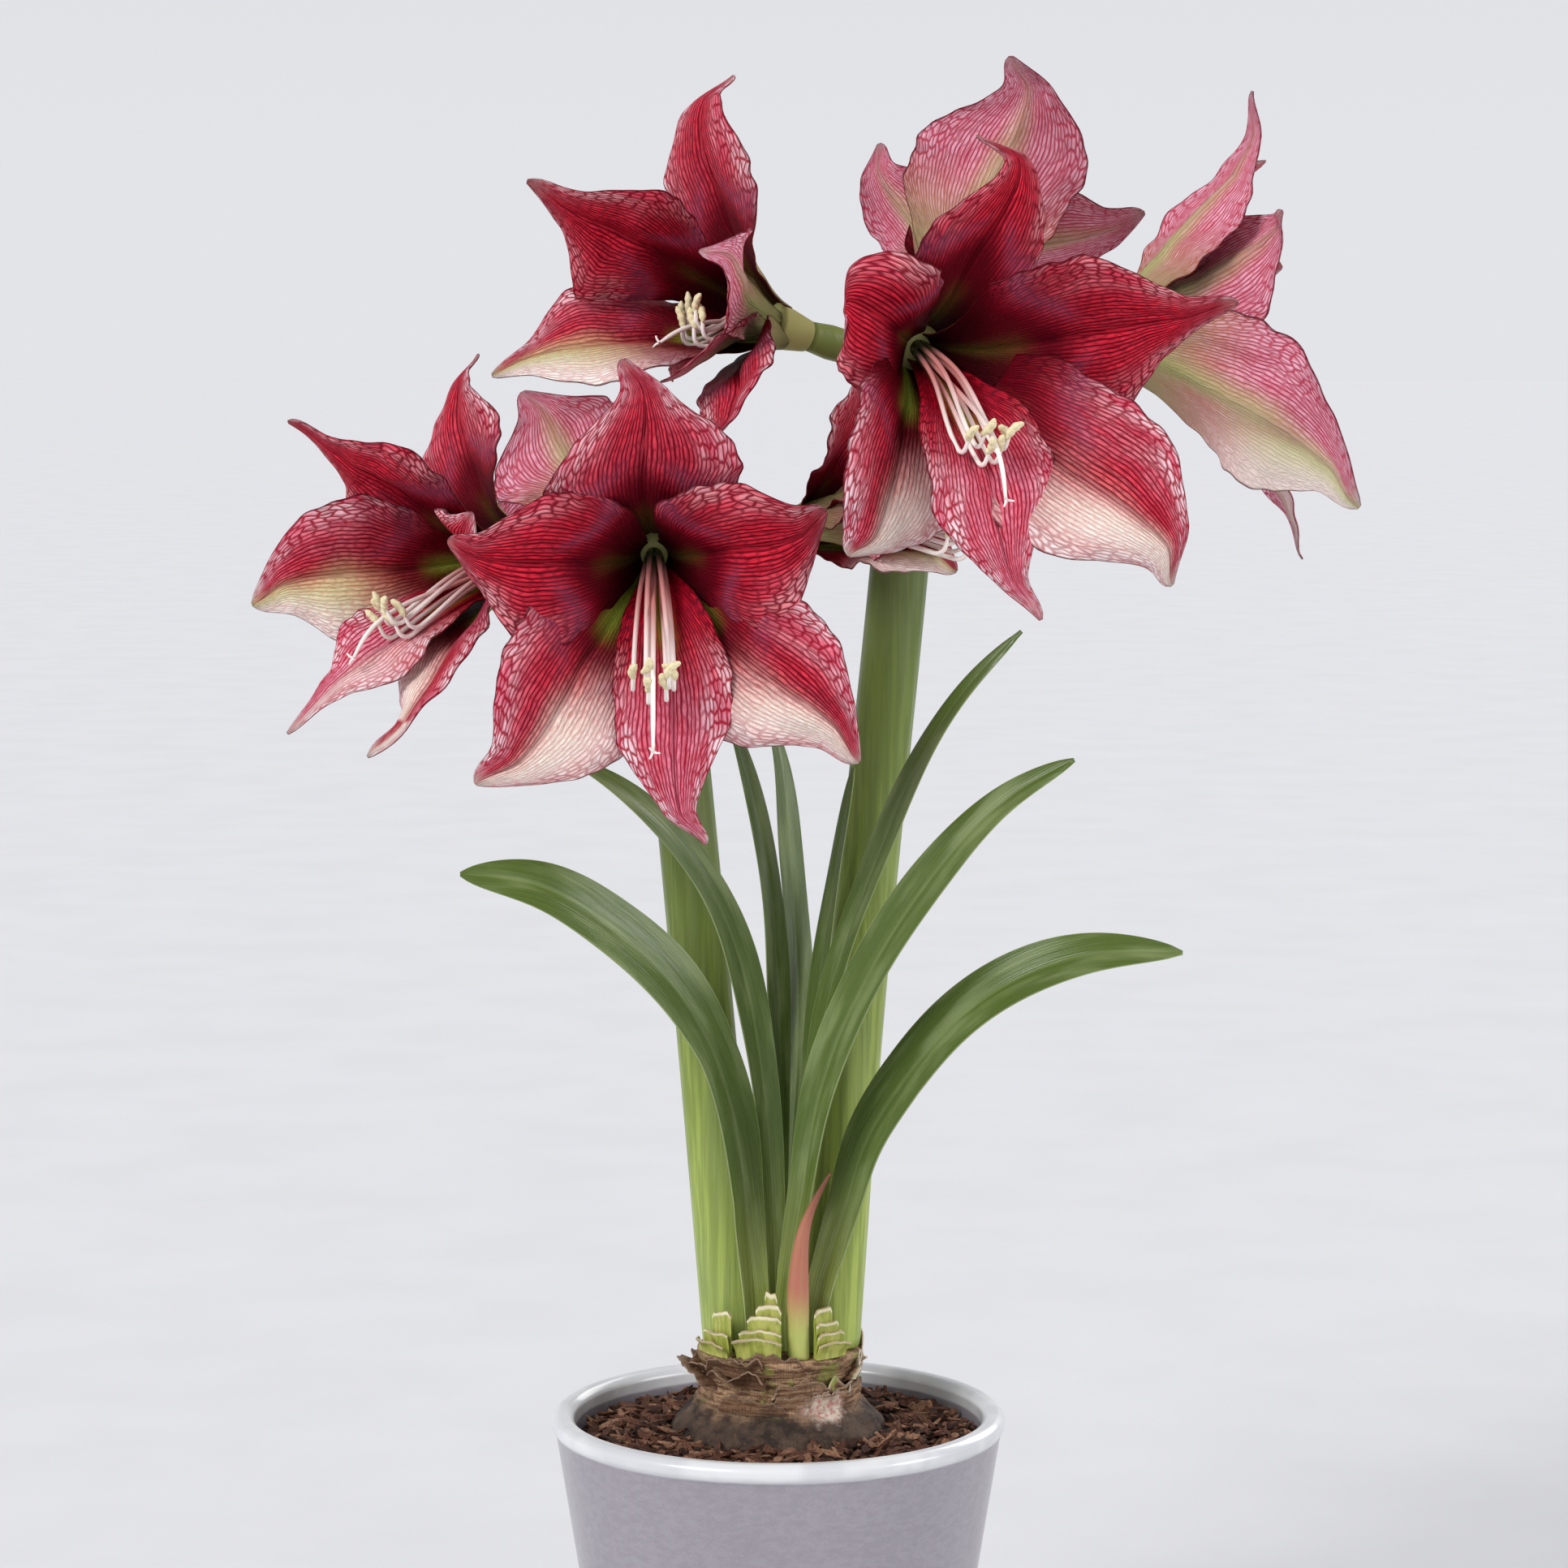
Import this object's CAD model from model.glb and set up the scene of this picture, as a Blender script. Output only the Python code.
"""Looks of a flowering amaryllis in a glazed pot, laid out as an add-on and run as a script.

Shapes are worked out in millimetres, in the frame of the CAD model. add_mesh turns them to metres.
"""
import functools
import math

import bpy
import numpy as np
from bpy.props import FloatProperty, FloatVectorProperty, IntProperty, PointerProperty
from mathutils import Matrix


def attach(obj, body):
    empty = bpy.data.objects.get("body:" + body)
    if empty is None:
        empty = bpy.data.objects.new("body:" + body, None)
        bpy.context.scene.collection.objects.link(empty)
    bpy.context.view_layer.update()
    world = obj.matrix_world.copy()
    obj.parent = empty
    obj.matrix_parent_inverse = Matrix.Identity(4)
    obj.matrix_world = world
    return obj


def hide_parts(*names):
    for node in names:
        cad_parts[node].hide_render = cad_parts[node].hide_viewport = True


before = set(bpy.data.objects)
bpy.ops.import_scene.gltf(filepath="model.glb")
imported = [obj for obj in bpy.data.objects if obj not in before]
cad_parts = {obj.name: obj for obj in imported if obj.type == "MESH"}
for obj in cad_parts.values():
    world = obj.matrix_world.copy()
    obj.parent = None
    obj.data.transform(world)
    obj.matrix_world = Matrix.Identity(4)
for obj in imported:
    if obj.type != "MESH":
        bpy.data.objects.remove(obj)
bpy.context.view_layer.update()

bl_info = {
    "name": "Amaryllis in a pot",
    "version": (1, 0, 0),
    "blender": (4, 5, 0),
    "location": "3D View > Sidebar > Amaryllis",
    "description": "Builds a flowering amaryllis in a glazed pot over its CAD model",
    "category": "Add Mesh",
}

MM = 0.001
FULL_TURN = 2 * math.pi
UP = (0.0, 0.0, 1.0)
ON_AXIS = 0.02  # radius of the small ring that ends a turned profile
SOFT = {"interpolation_type": "SMOOTHSTEP"}

# Pot, soil and bulb, as in the CAD model
RIM_Z = 165.0
RIM_RADIUS = 90.0
RIM_WIDTH = 9.0
RIM_DEPTH = 12.0
FOOT_RADIUS = 62.0
WALL = 7.0
FLOOR = 8.0
SOIL_EDGE_Z = 155.0
SOIL_MOUND_Z = 159.0
BULB_OUTLINE = [(33.5, 191.0), (30.5, 186.0), (28.5, 179.0), (32.0, 171.0), (39.0, 164.5),
                (44.0, 157.0), (46.0, 147.0), (45.0, 128.0), (38.0, 104.0), (27.0, 87.0),
                (17.0, 78.0)]
BULB_BASE_Z = 78.0
NECK_TOP_Z = 191.0
STEM_FOOT_Z = 191.3

# Stems, as in the CAD model
STEM_RADIUS = 11.6
STALK_RADIUS = 4.2
OVARY_RADIUS = 6.6
TUBE_LENGTH = 15.0
STEMS = {
    "left": [(-18, 0, STEM_FOOT_Z), (-24.5, 0, 270), (-36.5, 0, 404), (-46, 0, 503)],
    "right": [(20.5, 0, STEM_FOOT_Z), (31, 0, 335), (45.3, 0, 480), (53, 0, 566)],
}

# Blooms, as in the CAD model: stem, foot of the tube, direction it faces, then six tepals, each
# with its tip, the way the tip points, its half width and whether it is of the inner ring. The
# looks add its marking, how far its shoulder bulges to the side and up, and how slender its end is
BLOOMS = {
    "left_front": ("left", (-47, -42, 511), (0.02, -0.96, -0.27), [
        ((-121, -98, 514), (-0.90, 0.45, 0.15), 31, True, "velvet", (0, -4), 0.7),
        ((18, -100, 525), (0.90, 0.35, 0.35), 31, True, "velvet", (0, -5), 0.4),
        ((-27, -88, 401), (0.15, 0.35, -0.95), 23, True, "pink", (-7, -2), 0.9),
        ((-56, -112, 581), (-0.10, 0.35, 0.95), 38, False, "netted", (6, 0), 1.0),
        ((-112, -92, 424), (-0.75, 0.50, -0.70), 32, False, "striped", (6, -2), 0.5),
        ((30, -90, 432), (0.80, 0.50, -0.60), 32, False, "striped", (2, 5), 0.6)]),
    "right_front": ("right", (46, -46, 589), (0.40, -0.86, -0.28), [
        ((169, -88, 601), (0.95, 0.30, 0.00), 36, True, "velvet", (-4, -4), 1.0),
        ((24, -92, 598), (-0.70, 0.60, -0.30), 28, True, "velvet", (-3, 3), 0.3),
        ((96, -112, 486), (0.30, 0.30, -0.95), 27, True, "pink", (-6, 0), 1.0),
        ((74, -70, 663), (-0.40, 0.50, 0.70), 27, False, "velvet", (12, 0), 1.2),
        ((26, -105, 509), (-0.50, 0.50, -0.80), 31, False, "striped", (3, -3), 0.4),
        ((145, -100, 498), (0.55, 0.60, -0.70), 35, False, "striped", (7, 3), 0.7)]),
    "left_side": ("left", (-85, -20, 509), (-0.77, -0.60, -0.20), [
        ((-185, -45, 557), (-0.90, 0.45, 0.10), 27, True, "velvet", (3, -7), 0.9),
        ((-184, -72, 441), (-0.75, 0.10, -0.65), 20, True, "pale", (3, 5), 0.8),
        ((-113, -85, 524), (0.50, -0.20, 0.80), 21, True, "netted", (0, 0), 0.5),
        ((-116, -5, 582), (0.30, 0.40, 0.90), 28, False, "netted", (-5, 0), 0.8),
        ((-199, -50, 488), (-0.90, 0.30, -0.35), 33, False, "halved", (0, 4), 0.4),
        ((-152, -92, 434), (-0.60, 0.20, -0.75), 26, False, "striped", (4, 0), 0.4)]),
    "right_side": ("right", (11, -15, 589), (-0.82, -0.47, 0.27), [
        ((-94, -50, 647), (-0.95, 0.10, 0.35), 34, True, "velvet", (0, -4), 0.9),
        ((-29, -90, 620), (-0.90, -0.10, 0.40), 19, True, "netted", (2, 3), 0.6),
        ((-44, -62, 572), (-0.90, -0.20, -0.35), 24, True, "velvet", (0, 0), 0.4),
        ((-17, -14, 688), (0.30, 0.30, 0.95), 28, False, "netted", (-9, 2), 0.1),
        ((-108, -45, 574), (-0.95, 0.10, -0.30), 33, False, "halved", (0, 3), 0.6),
        ((-30, -80, 547), (-0.70, -0.10, -0.70), 22, False, "netted", (3, 0), 0.5)]),
    "right_back": ("right", (62, 36, 589), (0.16, 0.68, 0.71), [
        ((91, 28, 698), (-0.20, -0.50, 0.80), 36, False, "netted", (6, 0), 0.8),
        ((40, 72, 666), (-0.40, -0.10, 0.90), 28, True, "velvet", (-4, -2), 0.7),
        ((148, 80, 639), (0.95, 0.10, 0.30), 30, True, "velvet", (0, -3), 0.5),
        ((51, 120, 644), (-0.50, 0.60, 0.30), 32, False, "striped", (3, 3), 0.5),
        ((96, 150, 618), (0.10, 0.90, -0.20), 26, True, "pink", (4, 2), 0.8),
        ((132, 130, 617), (0.60, 0.70, -0.10), 32, False, "striped", (-4, 2), 0.6)]),
    "right_far": ("right", (108, 12, 590), (0.90, 0.34, 0.05), [
        ((187, 38, 685), (0.45, -0.10, 0.90), 28, False, "netted", (8, -4), 0.7),
        ((221, -38, 524), (0.75, -0.15, -0.65), 36, False, "halved", (2, 5), 0.4),
        ((206, 100, 617), (0.70, 0.70, 0.10), 30, False, "netted", (0, 4), 0.6),
        ((196, 5, 637), (0.60, -0.50, 0.60), 30, True, "netted", (5, 0), 0.7),
        ((213, 75, 499), (0.50, 0.30, -0.80), 22, True, "pale", (4, 2), 0.9),
        ((199, 100, 660), (0.60, 0.60, 0.60), 28, True, "velvet", (-3, 4), 0.6)]),
    "left_back": ("left", (-62, 38, 515), (-0.42, 0.86, 0.25), [
        ((-103, 62, 567), (-0.40, -0.10, 0.90), 34, False, "netted", (4, 0), 0.7),
        ((-120, 100, 514), (-0.90, 0.40, 0.00), 30, True, "velvet", (0, -4), 0.6),
        ((-89, 150, 539), (-0.20, 0.90, 0.40), 30, True, "velvet", (4, 3), 0.6),
        ((-105, 120, 469), (-0.40, 0.60, -0.70), 32, False, "striped", (-3, 4), 0.5),
        ((-74, 110, 466), (0.10, 0.60, -0.80), 26, True, "pink", (5, 0), 0.8),
        ((-54, 130, 513), (0.60, 0.70, 0.20), 32, False, "striped", (-3, 3), 0.5)]),
    "left_far": ("left", (-3, -16, 514), (0.86, -0.44, 0.10), [
        ((30, -24, 572), (0.30, 0.00, 0.90), 26, False, "netted", (4, 0), 0.6),
        ((68, -40, 500), (0.85, -0.20, -0.40), 32, False, "halved", (0, 3), 0.5),
        ((74, -66, 545), (0.90, -0.30, 0.30), 24, False, "netted", (0, 2), 0.5),
        ((52, -48, 558), (0.50, -0.20, 0.80), 20, True, "velvet", (2, 0), 0.5),
        ((82, -34, 520), (0.90, -0.10, -0.20), 22, True, "velvet", (0, 2), 0.5),
        ((58, -76, 528), (0.70, -0.60, -0.10), 22, True, "pink", (0, 3), 0.6)]),
}

# Markings of a tepal's face, 0 to 1: dark throat star, pale cells at the middle and at the margin,
# cream half, and green in that half
MARKINGS = {
    "velvet": (1.00, 0.05, 0.38, 0.0, 0.0),
    "netted": (0.95, 0.13, 0.70, 0.0, 0.0),
    "striped": (0.80, 0.13, 0.84, 0.95, 0.12),
    "halved": (0.80, 0.18, 0.78, 1.0, 0.80),
    "pink": (0.25, 0.64, 0.90, 0.0, 0.0),
    "pale": (0.25, 1.00, 1.00, 0.6, 0.1),
}

# Stamens, as in the CAD model: how far they hang below the axis of their bloom and how far they
# reach along it, both as shares of the usual; six filaments and a style, and the anthers
DROOP = {"left_front": (1.5, 1.0), "right_front": (1.0, 1.0), "right_side": (0.6, 0.5)}
USUAL_DROOP = (0.6, 1.0)
FILAMENTS = 6
FILAMENT_LENGTH = 58.0
STYLE_LENGTH = 76.0
ANTHER_HALF = 4.2
ANTHER_RADIUS = 1.55

# Tepals: points along and across. For each ring, how far a tepal starts from the axis and along it,
# the share of its reach that it first runs ahead, and the share of its length where its star ends
TEPAL_GRID = (64, 36)
INNER_RING = {"away": 5.2, "along": 12.5, "ahead": 0.42, "star_end": 0.36}
OUTER_RING = {"away": 8.2, "along": 10.5, "ahead": 0.32, "star_end": 0.43}

# Relief of a tepal: scallops of its outline and its two lobes as shares of its width, and in mm
# the long wave and the frill of its margin, the roll of its brink, the groove of its midrib and
# its crumple
SCALLOP, LOBE = 0.018, 0.075
MARGIN_WAVE, MARGIN_FRILL, BRINK_ROLL, RIB_GROOVE = 3.0, 0.7, 1.5, 0.8
CRUMPLE, CRUMPLE_LENGTH = 0.5, 19.0
PATCH_LENGTH = 30.0  # of the patches that let a tepal's markings wander
CELL_LENGTH = 1.9  # of a cell of the net, in gaps between veins

# Leaves, as in the CAD model: midrib from foot to tip, half width, and the turn of the blade
LEAVES = {
    "arching_left": ([(-8.5, -16, 191.5), (-8.5, -16, 200), (-12, -20, 240), (-16, -28, 278),
                      (-25, -37, 313), (-40, -45, 341), (-65, -53, 366), (-90, -61, 382),
                      (-120, -66, 387)],
                     14, (5, 45, 55, 42, 25)),
    "leaning_left": ([(-1.5, -5.5, 191.5), (-1.5, -5.5, 200), (-3, -9, 260), (-10, -17, 324),
                      (-24, -28, 372), (-46, -37, 404), (-73, -43, 425), (-83, -45, 430)],
                     9, (5, 40, 52, 60)),
    "upright_left": ([(-0.5, 3.5, 191.5), (-0.5, 3.5, 200), (0, 7, 273), (-1, 9, 338),
                      (-5, 11, 383), (-14, 15, 423), (-22, 19, 447)],
                     6.5, (5, 40, 48, 55)),
    "upright_dark": ([(1, 12.5, 191.5), (1, 12.5, 200), (5, 25, 270), (7, 30, 347), (4, 33, 387),
                      (0, 37, 423), (-5, 40, 442)],
                     8, (5, 35, 50, 55)),
    "slim_upright": ([(3, -1, 191.5), (3, -1, 200), (8, -3, 259), (14, -8, 315), (18, -14, 353),
                      (24, -18, 393), (29, -21, 423)],
                     6, (-5, -50, -60, -60)),
    "long_right": ([(3, -9, 191.5), (3, -9, 200), (10, -15, 261), (16, -23, 314), (24, -30, 350),
                    (36, -37, 384), (53, -44, 426), (74, -50, 459), (92, -53, 478)],
                   6.5, (-5, -45, -50, -50, -48)),
    "leaning_right": ([(2.5, -13.2, 191.5), (2.5, -13.2, 200), (9, -26, 254), (17, -40, 301),
                       (30, -50, 337), (44, -58, 364), (63, -65, 392), (86, -70, 416),
                       (111, -73, 431)],
                      11, (-5, -45, -50, -50, -48)),
    "arching_right": ([(14, -16, 191.5), (14, -16, 200), (26, -24, 250), (34, -30, 277),
                       (47, -38, 301), (66, -47, 326), (90, -55, 345), (120, -61, 356),
                       (153, -65, 357)],
                      13, (0, -35, -50, -50, -45)),
    "inner_dark": ([(4.5, 8, 191.5), (4.5, 8, 200), (13, 16, 272), (18, 20, 317), (24, 24, 352),
                    (28, 27, 381)],
                   7.5, (-5, -35, -50, -50)),
}

# Cut leaf bases, as in the CAD model: ring radius, first and last angle, top at both ends
LEAF_BASES = {
    "left": (30.6, 196, 232, 204, 208),
    "middle": (29.0, 238, 272, 213, 204),
    "middle_tall": (25.8, 250, 269, 219, 214),
    "right": (30.6, 298, 324, 208, 211),
}

# Young shoot, as in the CAD model
SHOOT = [(8.0, -24.5, STEM_FOOT_Z), (7.6, -24.5, 205.0), (8.0, -27.0, 225.0), (10.5, -34.0, 246.0),
         (20.0, -42.0, 268.0)]

# Torn skin of the bulb's neck, in four layers from the top: its foot, the least and the most that
# a flake rises, and the least and the most that it flares. Flakes follow by the golden angle
SKIN_LAYERS = ((186.0, 4.0, 8.5, 0.5, 5.0), (180.5, 4.5, 8.0, 2.0, 8.5),
               (175.0, 4.5, 8.0, 0.5, 3.0), (169.5, 5.0, 8.0, 0.1, 0.8))
GOLDEN_ANGLE = 137.5

# Points along and across a leaf, and up and along a strip of skin; the chips start outside the bulb
LEAF_GRID = (110, 16)
STRIP_GRID = (8, 40)
CHIPS_FROM = 45.5

# Scales of the patterns. Tepal, in gaps between veins and in cells; each size is the real one
TEPAL_GRAIN = (3.4, 2.2, 1.0)  # beads 0.7 mm wide and 2 mm long
TEPAL_STREAK = (1.3, 0.20, 1.0)  # 1.8 mm wide and 23 mm long
# Leaf, shoot and bulb skin, in repeats per mm along and across the surface
LEAF_LINE = (1.8, 0.020, 1.0)  # 0.6 mm wide and 50 mm long
LEAF_CLOUD = (0.12, 0.020, 1.0)  # 8 mm wide and 50 mm long
SHOOT_LINE = 1.6  # 0.6 mm wide
SKIN_BAND = (0.10, 0.75, 1.0)  # 10 mm round the neck and 1.3 mm high
SKIN_FIBRE = (1.4, 0.18, 1.0)  # 0.7 mm wide and 5.5 mm high
# The others, in repeats per metre
STEM_STREAK = (420.0, 420.0, 9.0)  # 2.4 mm wide and 110 mm long
STEM_BLOTCH = (70.0, 70.0, 14.0)  # 14 mm wide and 70 mm long
SKIN_CLOUD = 75.0  # 13 mm
SKIN_DUST = 420.0  # 2.4 mm, drawn coarser than dust so that it shows
STUMP_GRAIN = (500.0, 500.0, 60.0)  # 2 mm wide and 17 mm long
STUMP_SPOT = 260.0  # 4 mm
BARK_FIBRE = 900.0  # 1.1 mm
GLAZE_MOTTLE = (220.0, 220.0, 420.0)  # 4.5 mm wide and 2.4 mm high
GLAZE_SPECK = 1300.0  # 0.8 mm
GLAZE_POOL = 45.0  # 22 mm
POLLEN_GRAIN = 2600.0  # 0.4 mm, drawn many times coarser than pollen so that it shows
FLOOR_GRAIN = 9.0  # 110 mm
# Patch of the bulb's neck where the skin has come off: it is stretched, and then centred, in metres
BARE_STRETCH = (1.0, 1.0, 1.8)
BARE_CENTRE = (0.018, -0.029, 0.3096)

# Stage, in metres and degrees; each lamp's direction and its share of the key light
FLOOR_HALF = 60.0
CAMERA_PLACE = (0.0022, -1.7075, 0.588)
CAMERA_TILT = 5.8
SENSOR_WIDTH = 36.0
LAMP_SPREAD = 28.0
LAMPS = {"key": ((-0.60, -0.60, 0.54), 1.0), "fill": ((0.88, -0.28, 0.30), 0.60),
         "back": ((0.45, 0.75, 0.50), 0.35)}


def linear(code):
    """Linear red, green, blue and alpha of an sRGB hex colour."""
    share = np.array([int(code[i:i + 2], 16) for i in (1, 3, 5)]) / 255
    level = np.where(share <= 0.04045, share / 12.92, ((share + 0.055) / 1.055) ** 2.4)
    return (*level.tolist(), 1.0)


def unit(vector):
    """The vector, or each of an array of vectors, brought to length 1."""
    vector = np.asarray(vector, dtype=float)
    return vector / np.maximum(np.linalg.norm(vector, axis=-1, keepdims=True), 1e-9)


def smooth(low, high, value):
    """0 below low, 1 above high, with an S-shaped rise between them."""
    share = np.clip((value - low) / (high - low), 0, 1)
    return share * share * (3 - 2 * share)


def ripples(points, length, seed, waves=9):
    """Smooth irregular field, about -1 to 1: a sum of seeded sine waves, all near one length."""
    rng = np.random.default_rng(seed)
    way = unit(rng.normal(size=(waves, points.shape[-1])))
    step = length * rng.uniform(0.6, 1.8, waves)[:, None]
    phase = rng.uniform(0, FULL_TURN, waves)
    return np.sin(points @ (way / step * FULL_TURN).T + phase).sum(-1) / math.sqrt(waves)


def run_along(route):
    """Distance from a route's first point to each of its points, along its chords."""
    return np.r_[0, np.cumsum(np.linalg.norm(np.diff(route, axis=0), axis=1))]


def spline_points(route, count):
    """Natural cubic spline through the route's points, read at even steps of chord length.

    Its second derivatives at the points solve the usual three-banded set of equations.
    """
    route = np.asarray(route, dtype=float)
    chord = run_along(route)
    step = np.diff(chord)
    size = len(route)
    inner = np.arange(1, size - 1)
    bands, right = np.eye(size), np.zeros_like(route)
    bands[inner, inner - 1] = step[:-1]
    bands[inner, inner] = 2 * (step[:-1] + step[1:])
    bands[inner, inner + 1] = step[1:]
    right[1:-1] = 6 * np.diff(np.diff(route, axis=0) / step[:, None], axis=0)
    bend = np.linalg.solve(bands, right)
    at = np.linspace(0, chord[-1], count)
    k = np.clip(np.searchsorted(chord, at) - 1, 0, size - 2)
    ahead, behind, span = (chord[k + 1] - at)[:, None], (at - chord[k])[:, None], step[k][:, None]
    curve = (bend[k] * ahead ** 3 + bend[k + 1] * behind ** 3) / (6 * span)
    curve += (route[k] / span - bend[k] * span / 6) * ahead
    curve += (route[k + 1] / span - bend[k + 1] * span / 6) * behind
    return curve


def bezier(a, b, c, d, share):
    """Point and slope of a cubic curve through four control points."""
    t = share[:, None]
    point = (1 - t) ** 3 * a + 3 * (1 - t) ** 2 * t * b + 3 * (1 - t) * t * t * c + t ** 3 * d
    slope = 3 * (1 - t) ** 2 * (b - a) + 6 * (1 - t) * t * (c - b) + 3 * t * t * (d - c)
    return point, slope


def swept(middle, side, normal, breadth, lift):
    """Grid of points: those of a midline, moved by breadth to the side and by lift outwards."""
    return middle[:, None] + side[:, None] * breadth[..., None] + normal[:, None] * lift[..., None]


def shell(points, quads, triangles=None, **values):
    """Closed shell: points, four-sided and three-sided faces, and named values for each point."""
    triangles = np.zeros((0, 3), int) if triangles is None else triangles
    return {"points": points, "quads": quads, "triangles": triangles, "values": values}


def blade(surface, thickness, **values):
    """Closed blade: the middle surface moved out and in along its normal by half its thickness.

    Each named value is a grid like the surface. The value face is 1 on the side of the normal and 0
    on the other, and the value rim is 1 along the border, whose edges are kept sharp.
    """
    rows, columns = surface.shape[:2]
    normal = unit(np.cross(np.gradient(surface, axis=0), np.gradient(surface, axis=1)))
    half = normal * np.broadcast_to(thickness, (rows, columns))[..., None] / 2
    points = np.concatenate([(surface + half).reshape(-1, 3), (surface - half).reshape(-1, 3)])
    under = rows * columns
    corner = (np.arange(rows - 1)[:, None] * columns + np.arange(columns - 1)[None]).ravel()
    top = np.stack([corner, corner + columns, corner + columns + 1, corner + 1], axis=1)
    index = np.arange(under).reshape(rows, columns)
    border = np.concatenate([index[0], index[1:, -1], index[-1, -2::-1], index[-2:0:-1, 0]])
    after = np.roll(border, -1)
    wall = np.stack([border, after, under + after, under + border], axis=1)
    quads = np.concatenate([top, (under + top)[:, ::-1], wall])
    given = {name: np.tile(np.broadcast_to(value, (rows, columns)).ravel(), 2)
             for name, value in values.items()}
    rim = np.zeros(under)
    rim[border] = 1.0
    given["rim"] = np.tile(rim, 2)
    given["face"] = np.repeat([1.0, 0.0], under)
    return shell(points, quads, **given)


def capped(rings, **values):
    """Closed round body: rings of points, anticlockwise seen from its end, and a fan at both."""
    rows, columns = rings.shape[:2]
    low = np.arange(rows - 1)[:, None] * columns
    high = low + columns
    at = np.arange(columns)
    after = (at + 1) % columns
    quads = np.stack([low + at, low + after, high + after, high + at], axis=-1)
    bottom, top = np.full(columns, rows * columns), np.full(columns, rows * columns + 1)
    last = (rows - 1) * columns
    fans = np.concatenate([np.stack([bottom, after, at], axis=1),
                           np.stack([top, last + at, last + after], axis=1)])
    points = np.concatenate([rings.reshape(-1, 3), rings[:1].mean(axis=1), rings[-1:].mean(axis=1)])
    given = {}
    for name, value in values.items():
        value = np.broadcast_to(value, (rows, columns))
        given[name] = np.concatenate([value.ravel(), [value[0].mean(), value[-1].mean()]])
    return shell(points, quads.reshape(-1, 4), fans, **given)


def tube(route, radii, sides, first=None, last=None, **values):
    """Closed rod: a ring of the given radius round each point of a route, square to it.

    The rings are turned alike by one helper direction, the one that the route leans on least.
    """
    tangent = unit(np.gradient(route, axis=0))
    tangent[0] = tangent[0] if first is None else unit(first)
    tangent[-1] = tangent[-1] if last is None else unit(last)
    helper = np.linalg.svd(tangent)[2][-1]
    out = unit(helper - (tangent @ helper)[:, None] * tangent)
    up = np.cross(tangent, out)
    angle = np.arange(sides) * FULL_TURN / sides
    radii = np.asarray(radii, dtype=float).reshape(len(route), -1)
    radii = np.broadcast_to(radii, (len(route), sides))
    ring = out[:, None] * np.cos(angle)[None, :, None] + up[:, None] * np.sin(angle)[None, :, None]
    return capped(route[:, None] + ring * radii[..., None], **values)


def turned(profile, steps, wander=None, **values):
    """Closed turned body: a profile of radius and height, up the outer side, carried round Z.

    wander, a function of the points, gives how far each is moved away from the axis.
    """
    profile = np.asarray(profile, dtype=float)
    angle = np.arange(steps) * FULL_TURN / steps
    way = np.stack([np.cos(angle), np.sin(angle), np.zeros(steps)], axis=1)
    rings = way[None] * profile[:, 0, None, None] + np.array(UP) * profile[:, 1, None, None]
    if wander is not None:
        rings = rings + way[None] * wander(rings)[..., None]
    return capped(rings, **values)


def dense(profile, step):
    """Profile read at even steps along its own length."""
    profile = np.asarray(profile, dtype=float)
    chord = run_along(profile)
    at = np.linspace(0, chord[-1], int(chord[-1] / step) + 2)
    return np.stack([np.interp(at, chord, profile[:, k]) for k in (0, 1)], axis=1)


def rounded(profile, step, radius):
    """Profile with its corners eased: read at even steps, then averaged over the radius."""
    fine = dense(profile, step)
    reach = max(1, int(radius / step))
    padded = np.pad(fine, ((reach, reach), (0, 0)), mode="edge")
    kernel = np.ones(2 * reach + 1) / (2 * reach + 1)
    return np.stack([np.convolve(padded[:, k], kernel, "valid") for k in (0, 1)], axis=1)


def joined(shells, key):
    """One array of a named value for the points of all shells."""
    return np.concatenate([part["values"][key] for part in shells])


def add_to_scene(name, data):
    """Object of the given data in the scene."""
    thing = bpy.data.objects.new(name, data)
    bpy.context.scene.collection.objects.link(thing)
    return thing


def add_mesh(name, shells, finish, node):
    """Object from closed shells, riding on the root body in place of the CAD node it stands for."""
    starts = np.cumsum([0] + [len(part["points"]) for part in shells])
    points = np.concatenate([part["points"] for part in shells]) * MM
    quads = np.concatenate([part["quads"] + start for part, start in zip(shells, starts)])
    triangles = np.concatenate([part["triangles"] + start for part, start in zip(shells, starts)])
    mesh = bpy.data.meshes.new(name)
    mesh.vertices.add(len(points))
    mesh.vertices.foreach_set("co", points.astype(np.float32).ravel())
    corners = np.concatenate([quads.ravel(), triangles.ravel()]).astype(np.int32)
    mesh.loops.add(len(corners))
    mesh.loops.foreach_set("vertex_index", corners)
    firsts = np.concatenate([np.arange(len(quads)) * 4,
                             len(quads) * 4 + np.arange(len(triangles)) * 3])
    mesh.polygons.add(len(firsts))
    mesh.polygons.foreach_set("loop_start", firsts.astype(np.int32))
    mesh.update(calc_edges=True)
    mesh.validate()
    mesh.polygons.foreach_set("use_smooth", np.ones(len(mesh.polygons), bool))
    for key in shells[0]["values"]:
        layer = mesh.attributes.new(key, "FLOAT", "POINT")
        layer.data.foreach_set("value", joined(shells, key).astype(np.float32))
    if "rim" in shells[0]["values"]:
        rim = joined(shells, "rim") > 0.5
        ends = np.zeros(len(mesh.edges) * 2, np.int32)
        mesh.edges.foreach_get("vertices", ends)
        ends = ends.reshape(-1, 2)
        sharp = mesh.attributes.new("sharp_edge", "BOOLEAN", "EDGE")
        sharp.data.foreach_set("value", rim[ends[:, 0]] & rim[ends[:, 1]])
    mesh.materials.append(finish)
    thing = add_to_scene(name, mesh)
    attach(thing, "root")
    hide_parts(node)
    return thing


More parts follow.
